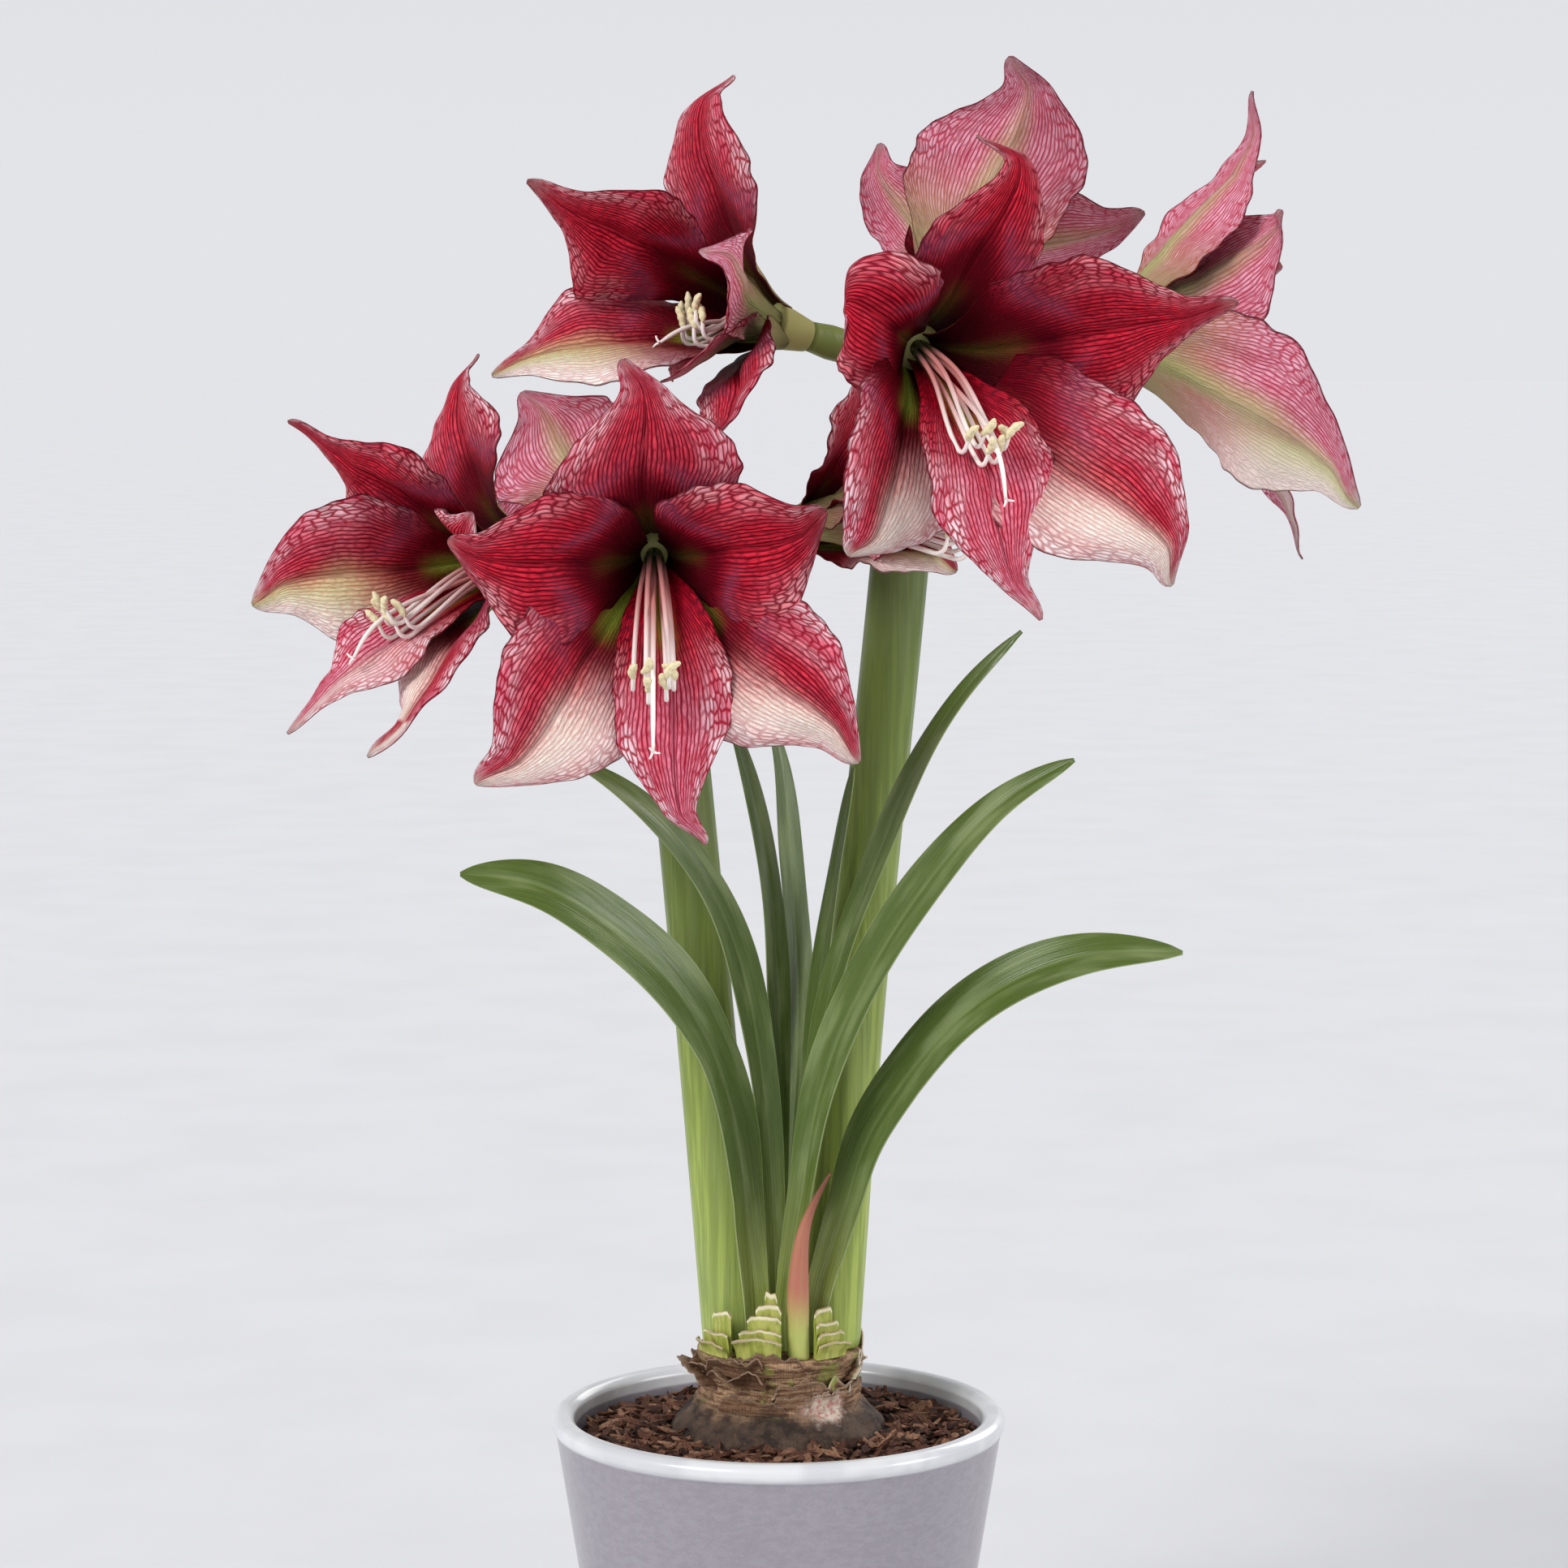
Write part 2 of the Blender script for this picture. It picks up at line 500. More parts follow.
def add_node(tree, kind, *inputs, out=0, named=(), **settings):
    """Add a node with its settings, set or join its inputs, and give back one of its outputs."""
    node = tree.nodes.new("ShaderNode" + kind)
    for key, value in settings.items():
        setattr(node, key, value)
    for key, value in [*enumerate(inputs), *dict(named).items()]:
        if isinstance(value, bpy.types.NodeSocket):
            tree.links.new(value, node.inputs[key])
        elif value is not None:
            node.inputs[key].default_value = value
    return node.outputs[out]


def new_finish(name):
    """Empty material, and add_node bound to its tree."""
    made = bpy.data.materials.new(name)
    made.use_nodes = True
    return made, functools.partial(add_node, made.node_tree)


def complete(made, colour, relief, depth, **sockets):
    """Join colour and relief to the shader, whose other sockets take a number or a pattern each."""
    tree = made.node_tree
    shader = tree.nodes["Principled BSDF"]
    normal = add_node(tree, "Bump", named={"Strength": 1.0, "Distance": depth, "Height": relief})
    for name, value in {"Base Color": colour, "Normal": normal, **sockets}.items():
        socket = shader.inputs[name.replace("_", " ")]
        if isinstance(value, bpy.types.NodeSocket):
            tree.links.new(value, socket)
        else:
            socket.default_value = value
    return made


def tepal_share(share, slender):
    """Half width along a tepal, as a share of its widest: narrow foot, full middle, drawn-out tip.

    It is the CAD model's, pinched before the tip by how slender it ends.
    """
    swell = np.clip(np.sin(math.pi * share ** 1.15), 0, 1) ** 0.8 * (1 - 0.08 * share)
    pinch = smooth(0.80 - 0.24 * slender, 0.97 - 0.05 * slender, share)
    return swell * (1 - 0.60 * slender * pinch) + 0.14 * (1 - share) ** 2 + 0.03 * share ** 6


def tepal_frame(foot, axis, tip, tip_way, ring, share):
    """Reach of a tepal, its midline, and the directions along it, to its side and towards the axis.

    The midline is a cubic curve: it leaves the tube along the bloom's axis and ends the way the tip
    points.
    """
    out = tip - foot
    out = unit(out - axis * (out @ axis))
    start = foot + out * ring["away"] + axis * ring["along"]
    reach = np.linalg.norm(tip - start)
    middle, slope = bezier(start, start + axis * reach * ring["ahead"] + out * reach * 0.05,
                           tip - tip_way * reach * 0.35, tip, share)
    tangent = unit(slope)
    side = np.cross(axis, out)
    side = unit(side - (tangent @ side)[:, None] * tangent)
    normal = np.cross(side, tangent)
    return reach, middle, tangent, side, normal if normal[0] @ out < 0 else -normal


def tepal_section(t, v, width, arc, wave, seed):
    """Distance from the midrib and height over it, for the share t along and v across a tepal.

    An arc, scalloped, waved and frilled at its margin, where the brink rolls back; the midrib lies
    in a groove between two soft lobes.
    """
    full = np.sin(math.pi * t)
    swing = FULL_TURN * (4.3 * t + 0.37 * seed) + 2.1 * np.sign(v)
    scallop = np.sin(1.37 * swing) + 0.7 * np.sin(2.9 * swing + 0.8)
    breadth = width * np.sin(arc * v) / arc * (1 + SCALLOP * v ** 2 * full * scallop)
    long_wave = np.sin(FULL_TURN * (1.7 * t + wave) + 1.3 * np.sign(v))
    frill = np.sin(swing) + 0.7 * np.sin(2.17 * swing + 1.0)
    lobes = np.sin(math.pi * np.abs(v) ** 0.8) * smooth(0.12, 0.45, t) * smooth(1.0, 0.7, t)
    lift = width * (1 - np.cos(arc * v)) / arc
    lift = lift + MARGIN_WAVE * full * v ** 2 * long_wave
    lift = lift + MARGIN_FRILL * v ** 4 * full * frill
    lift = lift - BRINK_ROLL * v ** 8 * full
    lift = lift + LOBE * width * lobes
    return breadth, lift - RIB_GROOVE * np.exp(-(v / 0.06) ** 2) * full ** 0.5


def tepal_marks(t, v, lower, patch, ring, marking):
    """Where a tepal's face has each of its marks, 0 to 1, for the share t along and v across it.

    dark: the throat's star, a tongue that reaches furthest along the midrib; dusk: the deepening
    towards it; haze: a mauve band round its end; margin: where the veins part into a net; pale: how
    light the cells are; cream: the light lower half and tip; green: its green; lime: a stripe deep
    in the throat. patch, an irregular field, lets every border wander.
    """
    star, heart, rim, pale_half, green_half = MARKINGS[marking]
    away = np.abs(v)
    star_end = ring["star_end"] + 0.15 * np.exp(-(v / 0.40) ** 2) + 0.012 * patch
    star_end = star_end * (0.45 + 0.55 * star)
    margin = smooth(0.30, 1.00, away * 0.95 + 0.30 * (t - 0.60) + 0.09 * patch)
    pale = (heart + (rim - heart) * margin) * smooth(0.28, 0.60, t)
    pale = np.clip(pale + (0.10 + 0.5 * heart) * smooth(0.80, 0.98, t), 0, 1)
    cream = smooth(-0.30, 0.30, lower + 0.08 * patch) * smooth(0.34, 0.78, t + 0.10 * lower)
    cream = pale_half * cream * (1 - 0.50 * smooth(0.45, 0.95, away) * (1 - green_half))
    pale_tip = (0.25 + 0.6 * pale_half) * smooth(0.93, 1.0, t + 0.02 * patch)
    return {
        "dark": smooth(0.055, -0.075, t - star_end) * star,
        "dusk": smooth(0.70, 0.36, t) * star,
        "haze": np.exp(-((t - star_end - 0.06) / 0.045) ** 2) * smooth(0.05, 0.40, away) * star,
        "margin": margin,
        "pale": pale,
        "cream": np.maximum(cream, pale_tip),
        "green": green_half * smooth(0.9, 0.1, away),
        "lime": np.exp(-(v / 0.16) ** 2) * smooth(0.42, 0.30, t) * (0.10 if star > 0.85 else 1.0),
    }


def make_tepal(foot, axis, tip, tip_way, half_width, inner, marking, bulge, slender, wave, look,
               seed):
    """Tepal as a blade: an arc carried along a curve that leaves the tube and bends back.

    The arc wraps the tube at the foot and opens to nearly flat at the tip. Its shoulder bulges to
    one side, so that the tip hooks back, and its tissue is softly crumpled. Veins run along lines
    of one reading: the distance from the midrib, divided by a width that grows towards the tip, so
    that they fan out from the throat.
    """
    rows, columns = TEPAL_GRID
    ring = INNER_RING if inner else OUTER_RING
    share = np.linspace(0.0, 1.0, rows + 1)
    reach, middle, tangent, side, normal = tepal_frame(foot, axis, np.array(tip, float),
                                                       unit(tip_way), ring, share)
    from_axis = middle - foot
    radius = np.linalg.norm(from_axis - (from_axis @ axis)[:, None] * axis, axis=1)
    width = half_width * tepal_share(share, slender)
    arc = np.clip(width / np.maximum(radius, 1), 0.02, 0.95) * (1 - share) ** 0.7
    arc = np.maximum(arc, 0.01)[:, None]
    width = np.minimum(width, radius * 0.95 + width * share * 0.7)[:, None]
    v = np.linspace(-1.0, 1.0, columns + 1)[None]
    t = share[:, None]
    breadth, lift = tepal_section(t, v, width, arc, wave, seed)
    spot = np.stack(np.broadcast_arrays(t * reach, v * width), axis=-1)
    lift = lift + CRUMPLE * ripples(spot, CRUMPLE_LENGTH, seed) * smooth(0.05, 0.4, t)
    shoulder = smooth(0.40, 0.84, share) * smooth(1.0, 0.86, share)
    middle = middle + shoulder[:, None] * np.array((bulge[0], 0.0, bulge[1]))
    surface = swept(middle, side, normal, breadth, lift)
    lower = v * np.where((side[:, 2] < 0)[:, None], 1.0, -1.0)
    marks = tepal_marks(t, v, lower, ripples(spot, PATCH_LENGTH, seed + 50), ring, marking)
    gap = look.vein_spacing / MM
    fan = half_width * 1.20 / (0.32 + 0.95 * t) / gap
    run = t * reach / (CELL_LENGTH * gap) + 3.3 * np.sign(v) + 7.3 * seed
    thick = 0.85 - 0.45 * v ** 6 + 0.25 * (1 - t)
    made = blade(surface, thick, vein_x=np.abs(v) * fan, vein_y=run, along=t, across=v, **marks)
    half = rows // 2
    if np.cross(tangent[half], side[half]) @ normal[half] < 0:
        made["values"]["face"] = 1.0 - made["values"]["face"]
    return made


def make_tepals(name, look, finish):
    """One bloom: six tepals and the short tube they grow from, in place of its CAD node."""
    _, foot, axis, tepals = BLOOMS[name]
    foot, axis = np.array(foot, float), unit(axis)
    first = 10 * list(BLOOMS).index(name)
    shells = [make_tepal(foot, axis, *tepal, 0.1 + 0.3 * index, look, first + index)
              for index, tepal in enumerate(tepals)]
    share = np.linspace(0, 1, 10)
    route = foot + axis * (0.3 + TUBE_LENGTH * share)[:, None]
    radii = np.interp(share, (0.0, 0.5, 1.0), (6.2, 7.8, 9.2))
    plain = dict.fromkeys(shells[0]["values"], 0.0)
    shells.append(tube(route, radii, 24, **{**plain, "across": 0.5}))
    return add_mesh("bloom_" + name, shells, finish, "tepals_" + name)


def tepal_finish(look):
    """Petal tissue: a dull velvet. Dark veins fan over crimson and part into a net at the margin.

    The net's irregular cells, about 2 mm wide and 4.5 mm long, pale to pink and white, and the
    throat is near black. Real veins stand a little closer; these are drawn coarse, so that they
    show.
    """
    made, add = new_finish("petal_tissue")
    x, y, along, across, face = (add("Attribute", out="Fac", attribute_name=name)
                                 for name in ("vein_x", "vein_y", "along", "across", "face"))
    dark, dusk, haze, margin = (add("Attribute", out="Fac", attribute_name=name)
                                for name in ("dark", "dusk", "haze", "margin"))
    pale, cream, green, lime = (add("Attribute", out="Fac", attribute_name=name)
                                for name in ("pale", "cream", "green", "lime"))
    # Veins: stripes over the fan's reading, and the borders of cells where they part into a net
    drift = add("TexNoise", add("CombineXYZ", x, y, 0.0), None, 0.45, 2.0, 0.5)
    x = add("Math", add("Math", drift, 0.5, operation="SUBTRACT"), 1.3, x, operation="MULTIPLY_ADD")
    flat = add("CombineXYZ", x, y, 0.0)
    cells = add("TexVoronoi", flat, feature="DISTANCE_TO_EDGE", voronoi_dimensions="2D",
                named={"Scale": 1.0, "Randomness": 0.85})
    wave = add("Math", add("Math", x, FULL_TURN, operation="MULTIPLY"), operation="COSINE")
    line = add("MapRange", wave, 0.0, 0.92, 0.0, 1.0, **SOFT)
    net = add("MapRange", cells, 0.03, 0.25, 1.0, 0.0, **SOFT)
    vein = add("MixRGB", add("MapRange", margin, 0.15, 0.75, **SOFT),
               add("Math", line, add("Math", net, 0.45, operation="MULTIPLY"), operation="MAXIMUM"),
               add("Math", net, add("Math", line, 0.50, operation="MULTIPLY"), operation="MAXIMUM"))
    # Tissue: fine grain, streaks of two reds, and clouds that make whole groups of cells lighter
    grain = add("TexNoise", add("Mapping", flat, None, None, TEPAL_GRAIN), None, 1.0, 3.0, 0.65)
    streak = add("TexNoise", add("Mapping", flat, None, None, TEPAL_STREAK), None, 1.0, 2.0, 0.5)
    bead = add("MapRange", grain, 0.35, 0.62, 0.0, 1.0, **SOFT)
    cloud = add("TexNoise", flat, None, 0.27, 2.0, 0.5)
    bright = add("MapRange", cloud, 0.36, 0.64, 0.0, 1.0, **SOFT)
    streak = add("MapRange", streak, 0.38, 0.62, 0.0, 1.0, **SOFT)
    body = add("MixRGB", streak, look.crimson, look.scarlet)
    white = add("Math", bright, margin, operation="MULTIPLY")
    cell = add("MixRGB", white, look.cell, look.cell_white)
    chalk = add("MixRGB", green, look.cream, look.green)
    # Face: cells and the cream half over the body, veins over them, then the throat from outside in
    light = add("Math", bright, 0.50, 0.45, operation="MULTIPLY_ADD")
    light = add("Math", bead, 0.40, light, operation="MULTIPLY_ADD")
    light = add("Math", light, pale, operation="MULTIPLY", use_clamp=True)
    front = add("MixRGB", light, body, cell)
    broken = add("Math", bead, 0.30, 0.70, operation="MULTIPLY_ADD")
    front = add("MixRGB", add("Math", cream, broken, operation="MULTIPLY"), front, chalk)
    ink = add("MixRGB", add("Math", pale, cream, operation="MAXIMUM"), look.vein, look.net)
    faint = add("Math", cream, -0.64, 0.94, operation="MULTIPLY_ADD")
    front = add("MixRGB", add("Math", vein, faint, operation="MULTIPLY"), front, ink)
    front = add("MixRGB", add("Math", dusk, 0.40, operation="MULTIPLY"), front, look.dusk)
    front = add("MixRGB", add("Math", haze, 0.32, operation="MULTIPLY"), front, look.haze)
    depth = add("MapRange", along, 0.16, 0.44, 0.0, 1.0, **SOFT)
    deep = add("MixRGB", depth, look.throat, look.throat_red)
    front = add("MixRGB", add("Math", dark, 0.92, operation="MULTIPLY"), front, deep)
    front = add("MixRGB", lime, front, look.lime)
    # Back: lighter cells and veins, an olive rib that fades towards the tip, and the green foot
    away = add("Math", across, operation="ABSOLUTE")
    rib = add("Math", grain, 0.14, away, operation="MULTIPLY_ADD")
    rib = add("MapRange", rib, 0.05, 0.38, 1.0, 0.0, **SOFT)
    rib = add("Math", rib, add("MapRange", along, 0.40, 0.95, 0.85, 0.10), operation="MULTIPLY")
    flush = add("Math", add("Math", pale, 0.35, 0.55, operation="MULTIPLY_ADD"),
                add("Math", bright, 0.35, 0.62, operation="MULTIPLY_ADD"), operation="MULTIPLY")
    back = add("MixRGB", flush, look.back, look.back_cell)
    back = add("MixRGB", add("Math", vein, 0.85, operation="MULTIPLY"), back, look.back_vein)
    back = add("MixRGB", add("Math", cream, 0.85, operation="MULTIPLY"), back, chalk)
    back = add("MixRGB", rib, back, look.rib)
    back = add("MixRGB", add("MapRange", along, 0.10, 0.58, 0.9, 0.0, **SOFT), back, look.tube)
    colour = add("MixRGB", face, back, front)
    brink = add("MapRange", away, 0.965, 0.995, 0.0, 0.85, **SOFT)
    colour = add("MixRGB", brink, colour, look.vein)
    relief = add("Math", grain, 0.5, operation="MULTIPLY")
    relief = add("Math", vein, -0.8, relief, operation="MULTIPLY_ADD")
    return complete(made, colour, relief, 0.0004, Roughness=0.50, IOR=1.42, Specular_IOR_Level=0.05)


def stamen_routes(foot, axis, droop, stretch):
    """Six filaments and a style that hang from the throat; a filament turns up at its end."""
    down = np.array((0.0, 0.0, -1.0))
    down = unit(down - axis * (down @ axis))
    side = np.cross(axis, down)
    start = foot + axis * (TUBE_LENGTH + 2.0)
    hook = unit(axis * 0.35 - down)
    routes = []
    for index in range(FILAMENTS + 1):
        style = index == FILAMENTS
        angle = index * FULL_TURN / FILAMENTS
        spread = side * math.cos(angle) + down * math.sin(angle)
        base = start if style else start + spread * 2.5
        length = (STYLE_LENGTH if style else FILAMENT_LENGTH + 3.0 * (index % 3)) * stretch
        fan = side * (7.5 * math.cos(angle) + index % 3) + down * 3.5 * math.sin(angle)
        fan = down * 2.0 if style else fan
        bend = base + axis * length * 0.45 + down * 5.0 * droop + fan * 0.4
        end = start + axis * length + down * 20.0 * droop + fan
        if style:
            far = start + axis * (length + 6.0) + down * 30.0 * droop + fan
            routes.append([base, bend, end, far])
        else:
            low = end - axis * 1.5 + down * 2.0
            high = low + axis * 4.4 - down * 4.2
            routes.append([base, bend, low - axis * 2.5 - down * 0.6, low,
                           low + axis * 2.9 - down * 1.1, high, high + hook * 3.5])
    return start, down, side, hook, routes


def make_stigma(tip, axis, down, side):
    """Three short arms that part from the style's end, each a rod along a spline."""
    ways = [side * math.cos(turn) - down * math.sin(turn)
            for turn in (0.0, FULL_TURN / 3, 2 * FULL_TURN / 3)]
    arms = [np.stack([tip, tip + axis + way, tip + axis * 1.6 + way * 2.6]) for way in ways]
    return [tube(spline_points(arm, 6), np.linspace(0.55, 0.35, 6), 6, tint=1.0) for arm in arms]


def make_anther(tip, axis, side, hook, index):
    """Anther balanced on a filament's tip: a rod along a shallow arc, pinched by two seams."""
    turn = math.radians(14.0 * (index - 2.5))
    way = unit(hook * math.cos(turn) + side * math.sin(turn) + axis * 0.25 * math.cos(3 * turn))
    across = np.cross(way, axis) * (-1) ** index
    at = np.linspace(-1, 1, 18)[:, None]
    arc = tip + way * (at + 0.45) * ANTHER_HALF + across * (1 - at ** 2) * 1.5 - across
    full = np.clip(1 - np.abs(at) ** 3.0, 0.05, 1) ** 0.5 * (1 + 0.10 * np.sin(9 * at + index))
    seam = 1 - 0.25 * np.abs(np.cos(np.arange(12) * FULL_TURN / 12))[None] ** 6
    return tube(arc, ANTHER_RADIUS * full * seam, 12, tint=2.0)


def make_stamens(name, finish):
    """Filaments with hooked ends and anthers, and a longer style with a three-parted stigma.

    A filament is a rod along a spline, thinner towards its end. The value tint is 0 at a filament's
    foot, 1 at its end and 2 on the anthers.
    """
    _, foot, axis, _ = BLOOMS[name]
    axis = unit(axis)
    start, down, side, hook, routes = stamen_routes(np.array(foot, float), axis,
                                                    *DROOP.get(name, USUAL_DROOP))
    shells = [tube(np.stack([start - axis * 1.4, start + axis * 0.6]), (3.3, 1.9), 12, tint=0.0)]
    share = np.linspace(0, 1, 44)
    thin = np.interp(share, (0.0, 0.25, 0.9, 1.0), (1.15, 0.95, 0.90, 0.55))
    for index, route in enumerate(routes):
        line = spline_points(route, len(share))
        shells.append(tube(line, thin, 10, first=axis, tint=share[:, None]))
        shells += ([make_anther(line[-1], axis, side, hook, index)] if index < FILAMENTS
                   else make_stigma(line[-1], axis, down, side))
    return add_mesh("stamens_of_" + name, shells, finish, "stamens_" + name)


def stamen_finish(look):
    """Filament and anther: moist white rods, blushed at the foot, and dull dry pollen."""
    made, add = new_finish("filament_and_pollen")
    tint = add("Attribute", out="Fac", attribute_name="tint")
    grain = add("TexNoise", add("TexCoord", out="Object"), None, POLLEN_GRAIN, 2.0, 0.6)
    foot = add("MapRange", tint, 0.04, 0.20, **SOFT)
    colour = add("MixRGB", foot, look.filament_foot, look.filament_blush)
    colour = add("MixRGB", add("MapRange", tint, 0.30, 0.78, **SOFT), colour, look.filament)
    dry = add("MapRange", grain, 0.35, 0.65, **SOFT)
    pollen = add("MixRGB", dry, look.anther_shade, look.anther)
    dusty = add("MapRange", tint, 1.2, 1.6, **SOFT)
    colour = add("MixRGB", dusty, colour, pollen)
    relief = add("Math", grain, dusty, operation="MULTIPLY")
    roughness = add("MapRange", tint, 1.2, 1.6, 0.34, 0.85)
    return complete(made, colour, relief, 0.0004, Roughness=roughness, IOR=1.42,
                    Subsurface_Weight=0.15, Subsurface_Scale=0.001)


def make_stalk(start, foot, axis):
    """Stalk of a bloom: a rod along a cubic curve that swells into a three-sided ovary."""
    reach = np.linalg.norm(foot - start)
    along = np.linspace(0, 1, 30)
    line, _ = bezier(start, start + np.array(UP) * reach * 0.30 + (foot - start) * 0.2,
                     foot - axis * reach * 0.45, foot, along)
    thick = np.interp(along, (0, 0.55, 0.72, 0.86, 1.0),
                      (STALK_RADIUS, STALK_RADIUS, OVARY_RADIUS * 0.97, OVARY_RADIUS, 5.6))
    lobes = np.cos(3 * np.arange(24) * FULL_TURN / 24) * 0.09
    lobes = lobes[None] * smooth(0.5, 0.75, along[:, None])
    return tube(line, thick[:, None] * (1 + lobes), 24, last=axis, height=1.0, part=1.0, flush=0.1)


def make_stem(name, finish):
    """Flower stem, a rod along a spline, slightly ribbed, with the stalks and ovaries of its umbel.

    The value height is the share of the way up, part is 1 on a stalk, and flush is the purple below
    the umbel.
    """
    rows, sides = 90, 48
    route = spline_points(STEMS[name], rows)
    share = np.linspace(0, 1, rows)[:, None]
    angle = (np.arange(sides) * FULL_TURN / sides)[None]
    ribs = 1 + 0.010 * np.cos(12 * angle) + 0.016 * np.cos(2 * angle + 1.1 + 1.5 * share)
    radii = STEM_RADIUS * np.interp(share, (0, 0.9, 1), (1.02, 0.96, 0.80)) * ribs
    flush = smooth(0.55, 0.95, share) * (0.8 if name == "left" else 0.15)
    shells = [tube(route, radii, sides, first=UP, height=share, part=0.0, flush=flush)]
    crown = route[-1] - np.array(UP) * 5.0
    shells += [make_stalk(crown, np.array(foot, float), unit(axis))
               for owner, foot, axis, _ in BLOOMS.values() if owner == name]
    return add_mesh("scape_" + name, shells, finish, "stem_" + name)


def stem_finish(look):
    """Waxy green stem: satin, with a thin grey bloom that rubs off in streaks along it."""
    made, add = new_finish("waxy_stem")
    place = add("TexCoord", out="Object")
    height, part, flush = (add("Attribute", out="Fac", attribute_name=name)
                           for name in ("height", "part", "flush"))
    streak = add("TexNoise", add("Mapping", place, None, None, STEM_STREAK), None, 1.0, 3.0, 0.55)
    blotch = add("TexNoise", add("Mapping", place, None, None, STEM_BLOTCH), None, 1.0, 3.0, 0.5)
    colour = add("MixRGB", add("MapRange", height, 0.0, 0.80), look.stem_low, look.stem_high)
    dark = add("MapRange", streak, 0.40, 0.62, 0.0, 0.40, **SOFT)
    colour = add("MixRGB", dark, colour, look.stem_shade)
    wax = add("MapRange", blotch, 0.45, 0.75, 0.0, 0.30, **SOFT)
    colour = add("MixRGB", wax, colour, look.stem_wax)
    colour = add("MixRGB", add("Math", part, 0.7, operation="MULTIPLY"), colour, look.stalk)
    flush = add("Math", flush, add("MapRange", blotch, 0.35, 0.6), operation="MULTIPLY")
    colour = add("MixRGB", flush, colour, look.stem_flush)
    roughness = add("MapRange", blotch, 0.3, 0.7, 0.34, 0.48)
    return complete(made, colour, streak, 0.0003, Roughness=roughness, IOR=1.42,
                    Specular_IOR_Level=0.4)


def make_leaf(name, look, finish):
    """Strap leaf: a shallow channel carried along its midrib, rounded off at the tip.

    Across, it is an arc whose half angle falls from foot to tip, with a soft groove at the midrib.
    Along, the half width grows from a narrow foot to two thirds of the way and closes in a round
    tip. The blade is thickest at its midrib, thins to its margins and undulates softly. The values
    run and reach are the distances along it and from its midrib.
    """
    route, half_width, turns = LEAVES[name]
    rows, columns = LEAF_GRID
    middle = spline_points(route, rows + 1)
    share = np.linspace(0.0, 1.0, rows + 1)
    tangent = unit(np.gradient(middle, axis=0))
    tangent[0] = UP
    flat = unit(np.cross((0.0, 1.0, 0.0), tangent))
    deep = np.cross(tangent, flat)
    angle = np.radians(np.interp(share, np.linspace(0, 1, len(turns)), turns))[:, None]
    side = np.cos(angle) * flat + np.sin(angle) * deep
    normal = np.cross(side, tangent)
    grown = np.sin(0.5 * math.pi * np.minimum(share / 0.65, 1.0)) ** 1.5
    closing = np.clip(1 - np.clip((share - 0.55) / 0.45, 0, 1) ** 2.6, 0, 1) ** 0.6
    width = np.maximum(half_width * (0.34 + 0.66 * grown) * closing, 0.8)[:, None]
    t = share[:, None]
    arc = 0.14 + 0.55 * (1 - t) ** 0.8
    across = np.linspace(-1.0, 1.0, columns + 1)[None]
    run = t * run_along(middle)[-1]
    seed = list(LEAVES).index(name)
    breadth = width * np.sin(arc * across) / arc
    groove = 0.5 * np.exp(-(across / 0.15) ** 2) * (width / half_width)
    lift = width * (1 - np.cos(arc * across)) / arc - groove
    wave = np.sin(run / 13.0 + seed + 1.2 * np.sign(across)) * smooth(0.2, 0.5, t)
    lift = lift + 0.4 * across ** 2 * wave
    surface = swept(middle, side, normal, breadth, lift)
    thick = look.leaf_thickness / MM * (1 - 0.72 * across ** 4) * (1 - 0.4 * t)
    made = blade(surface, thick, along=t, across=across, run=run + 90.0 * seed,
                 reach=width * across)
    return add_mesh("strap_" + name, [made], finish, "leaf_" + name)


def leaf_finish(look):
    """Strap leaf: smooth green skin with a wax bloom, fine lines along it and a pale margin."""
    made, add = new_finish("strap_leaf")
    reach, run, along, across = (add("Attribute", out="Fac", attribute_name=name)
                                 for name in ("reach", "run", "along", "across"))
    place = add("CombineXYZ", reach, run, 0.0)
    fine = add("TexNoise", add("Mapping", place, None, None, LEAF_LINE), None, 1.0, 2.0, 0.5)
    cloud = add("TexNoise", add("Mapping", place, None, None, LEAF_CLOUD), None, 1.0, 3.0, 0.5)
    away = add("Math", across, operation="ABSOLUTE")
    grown = add("MapRange", along, 0.02, 0.34, **SOFT)
    colour = add("MixRGB", grown, look.leaf_low, look.leaf_high)
    line = add("MapRange", fine, 0.40, 0.62, 0.0, 0.45, **SOFT)
    colour = add("MixRGB", line, colour, look.leaf_shade)
    wax = add("MapRange", cloud, 0.44, 0.72, 0.0, 0.34, **SOFT)
    colour = add("MixRGB", wax, colour, look.leaf_wax)
    midrib = add("MapRange", away, 0.0, 0.16, 0.18, 0.0, **SOFT)
    colour = add("MixRGB", midrib, colour, look.leaf_wax)
    edge = add("MapRange", away, 0.97, 1.0, 0.0, 0.45, **SOFT)
    colour = add("MixRGB", edge, colour, look.leaf_edge)
    roughness = add("MapRange", cloud, 0.3, 0.7, 0.24, 0.38)
    return complete(made, colour, fine, 0.0002, Roughness=roughness, IOR=1.46,
                    Specular_IOR_Level=0.5, Sheen_Weight=0.10, Sheen_Roughness=0.45)


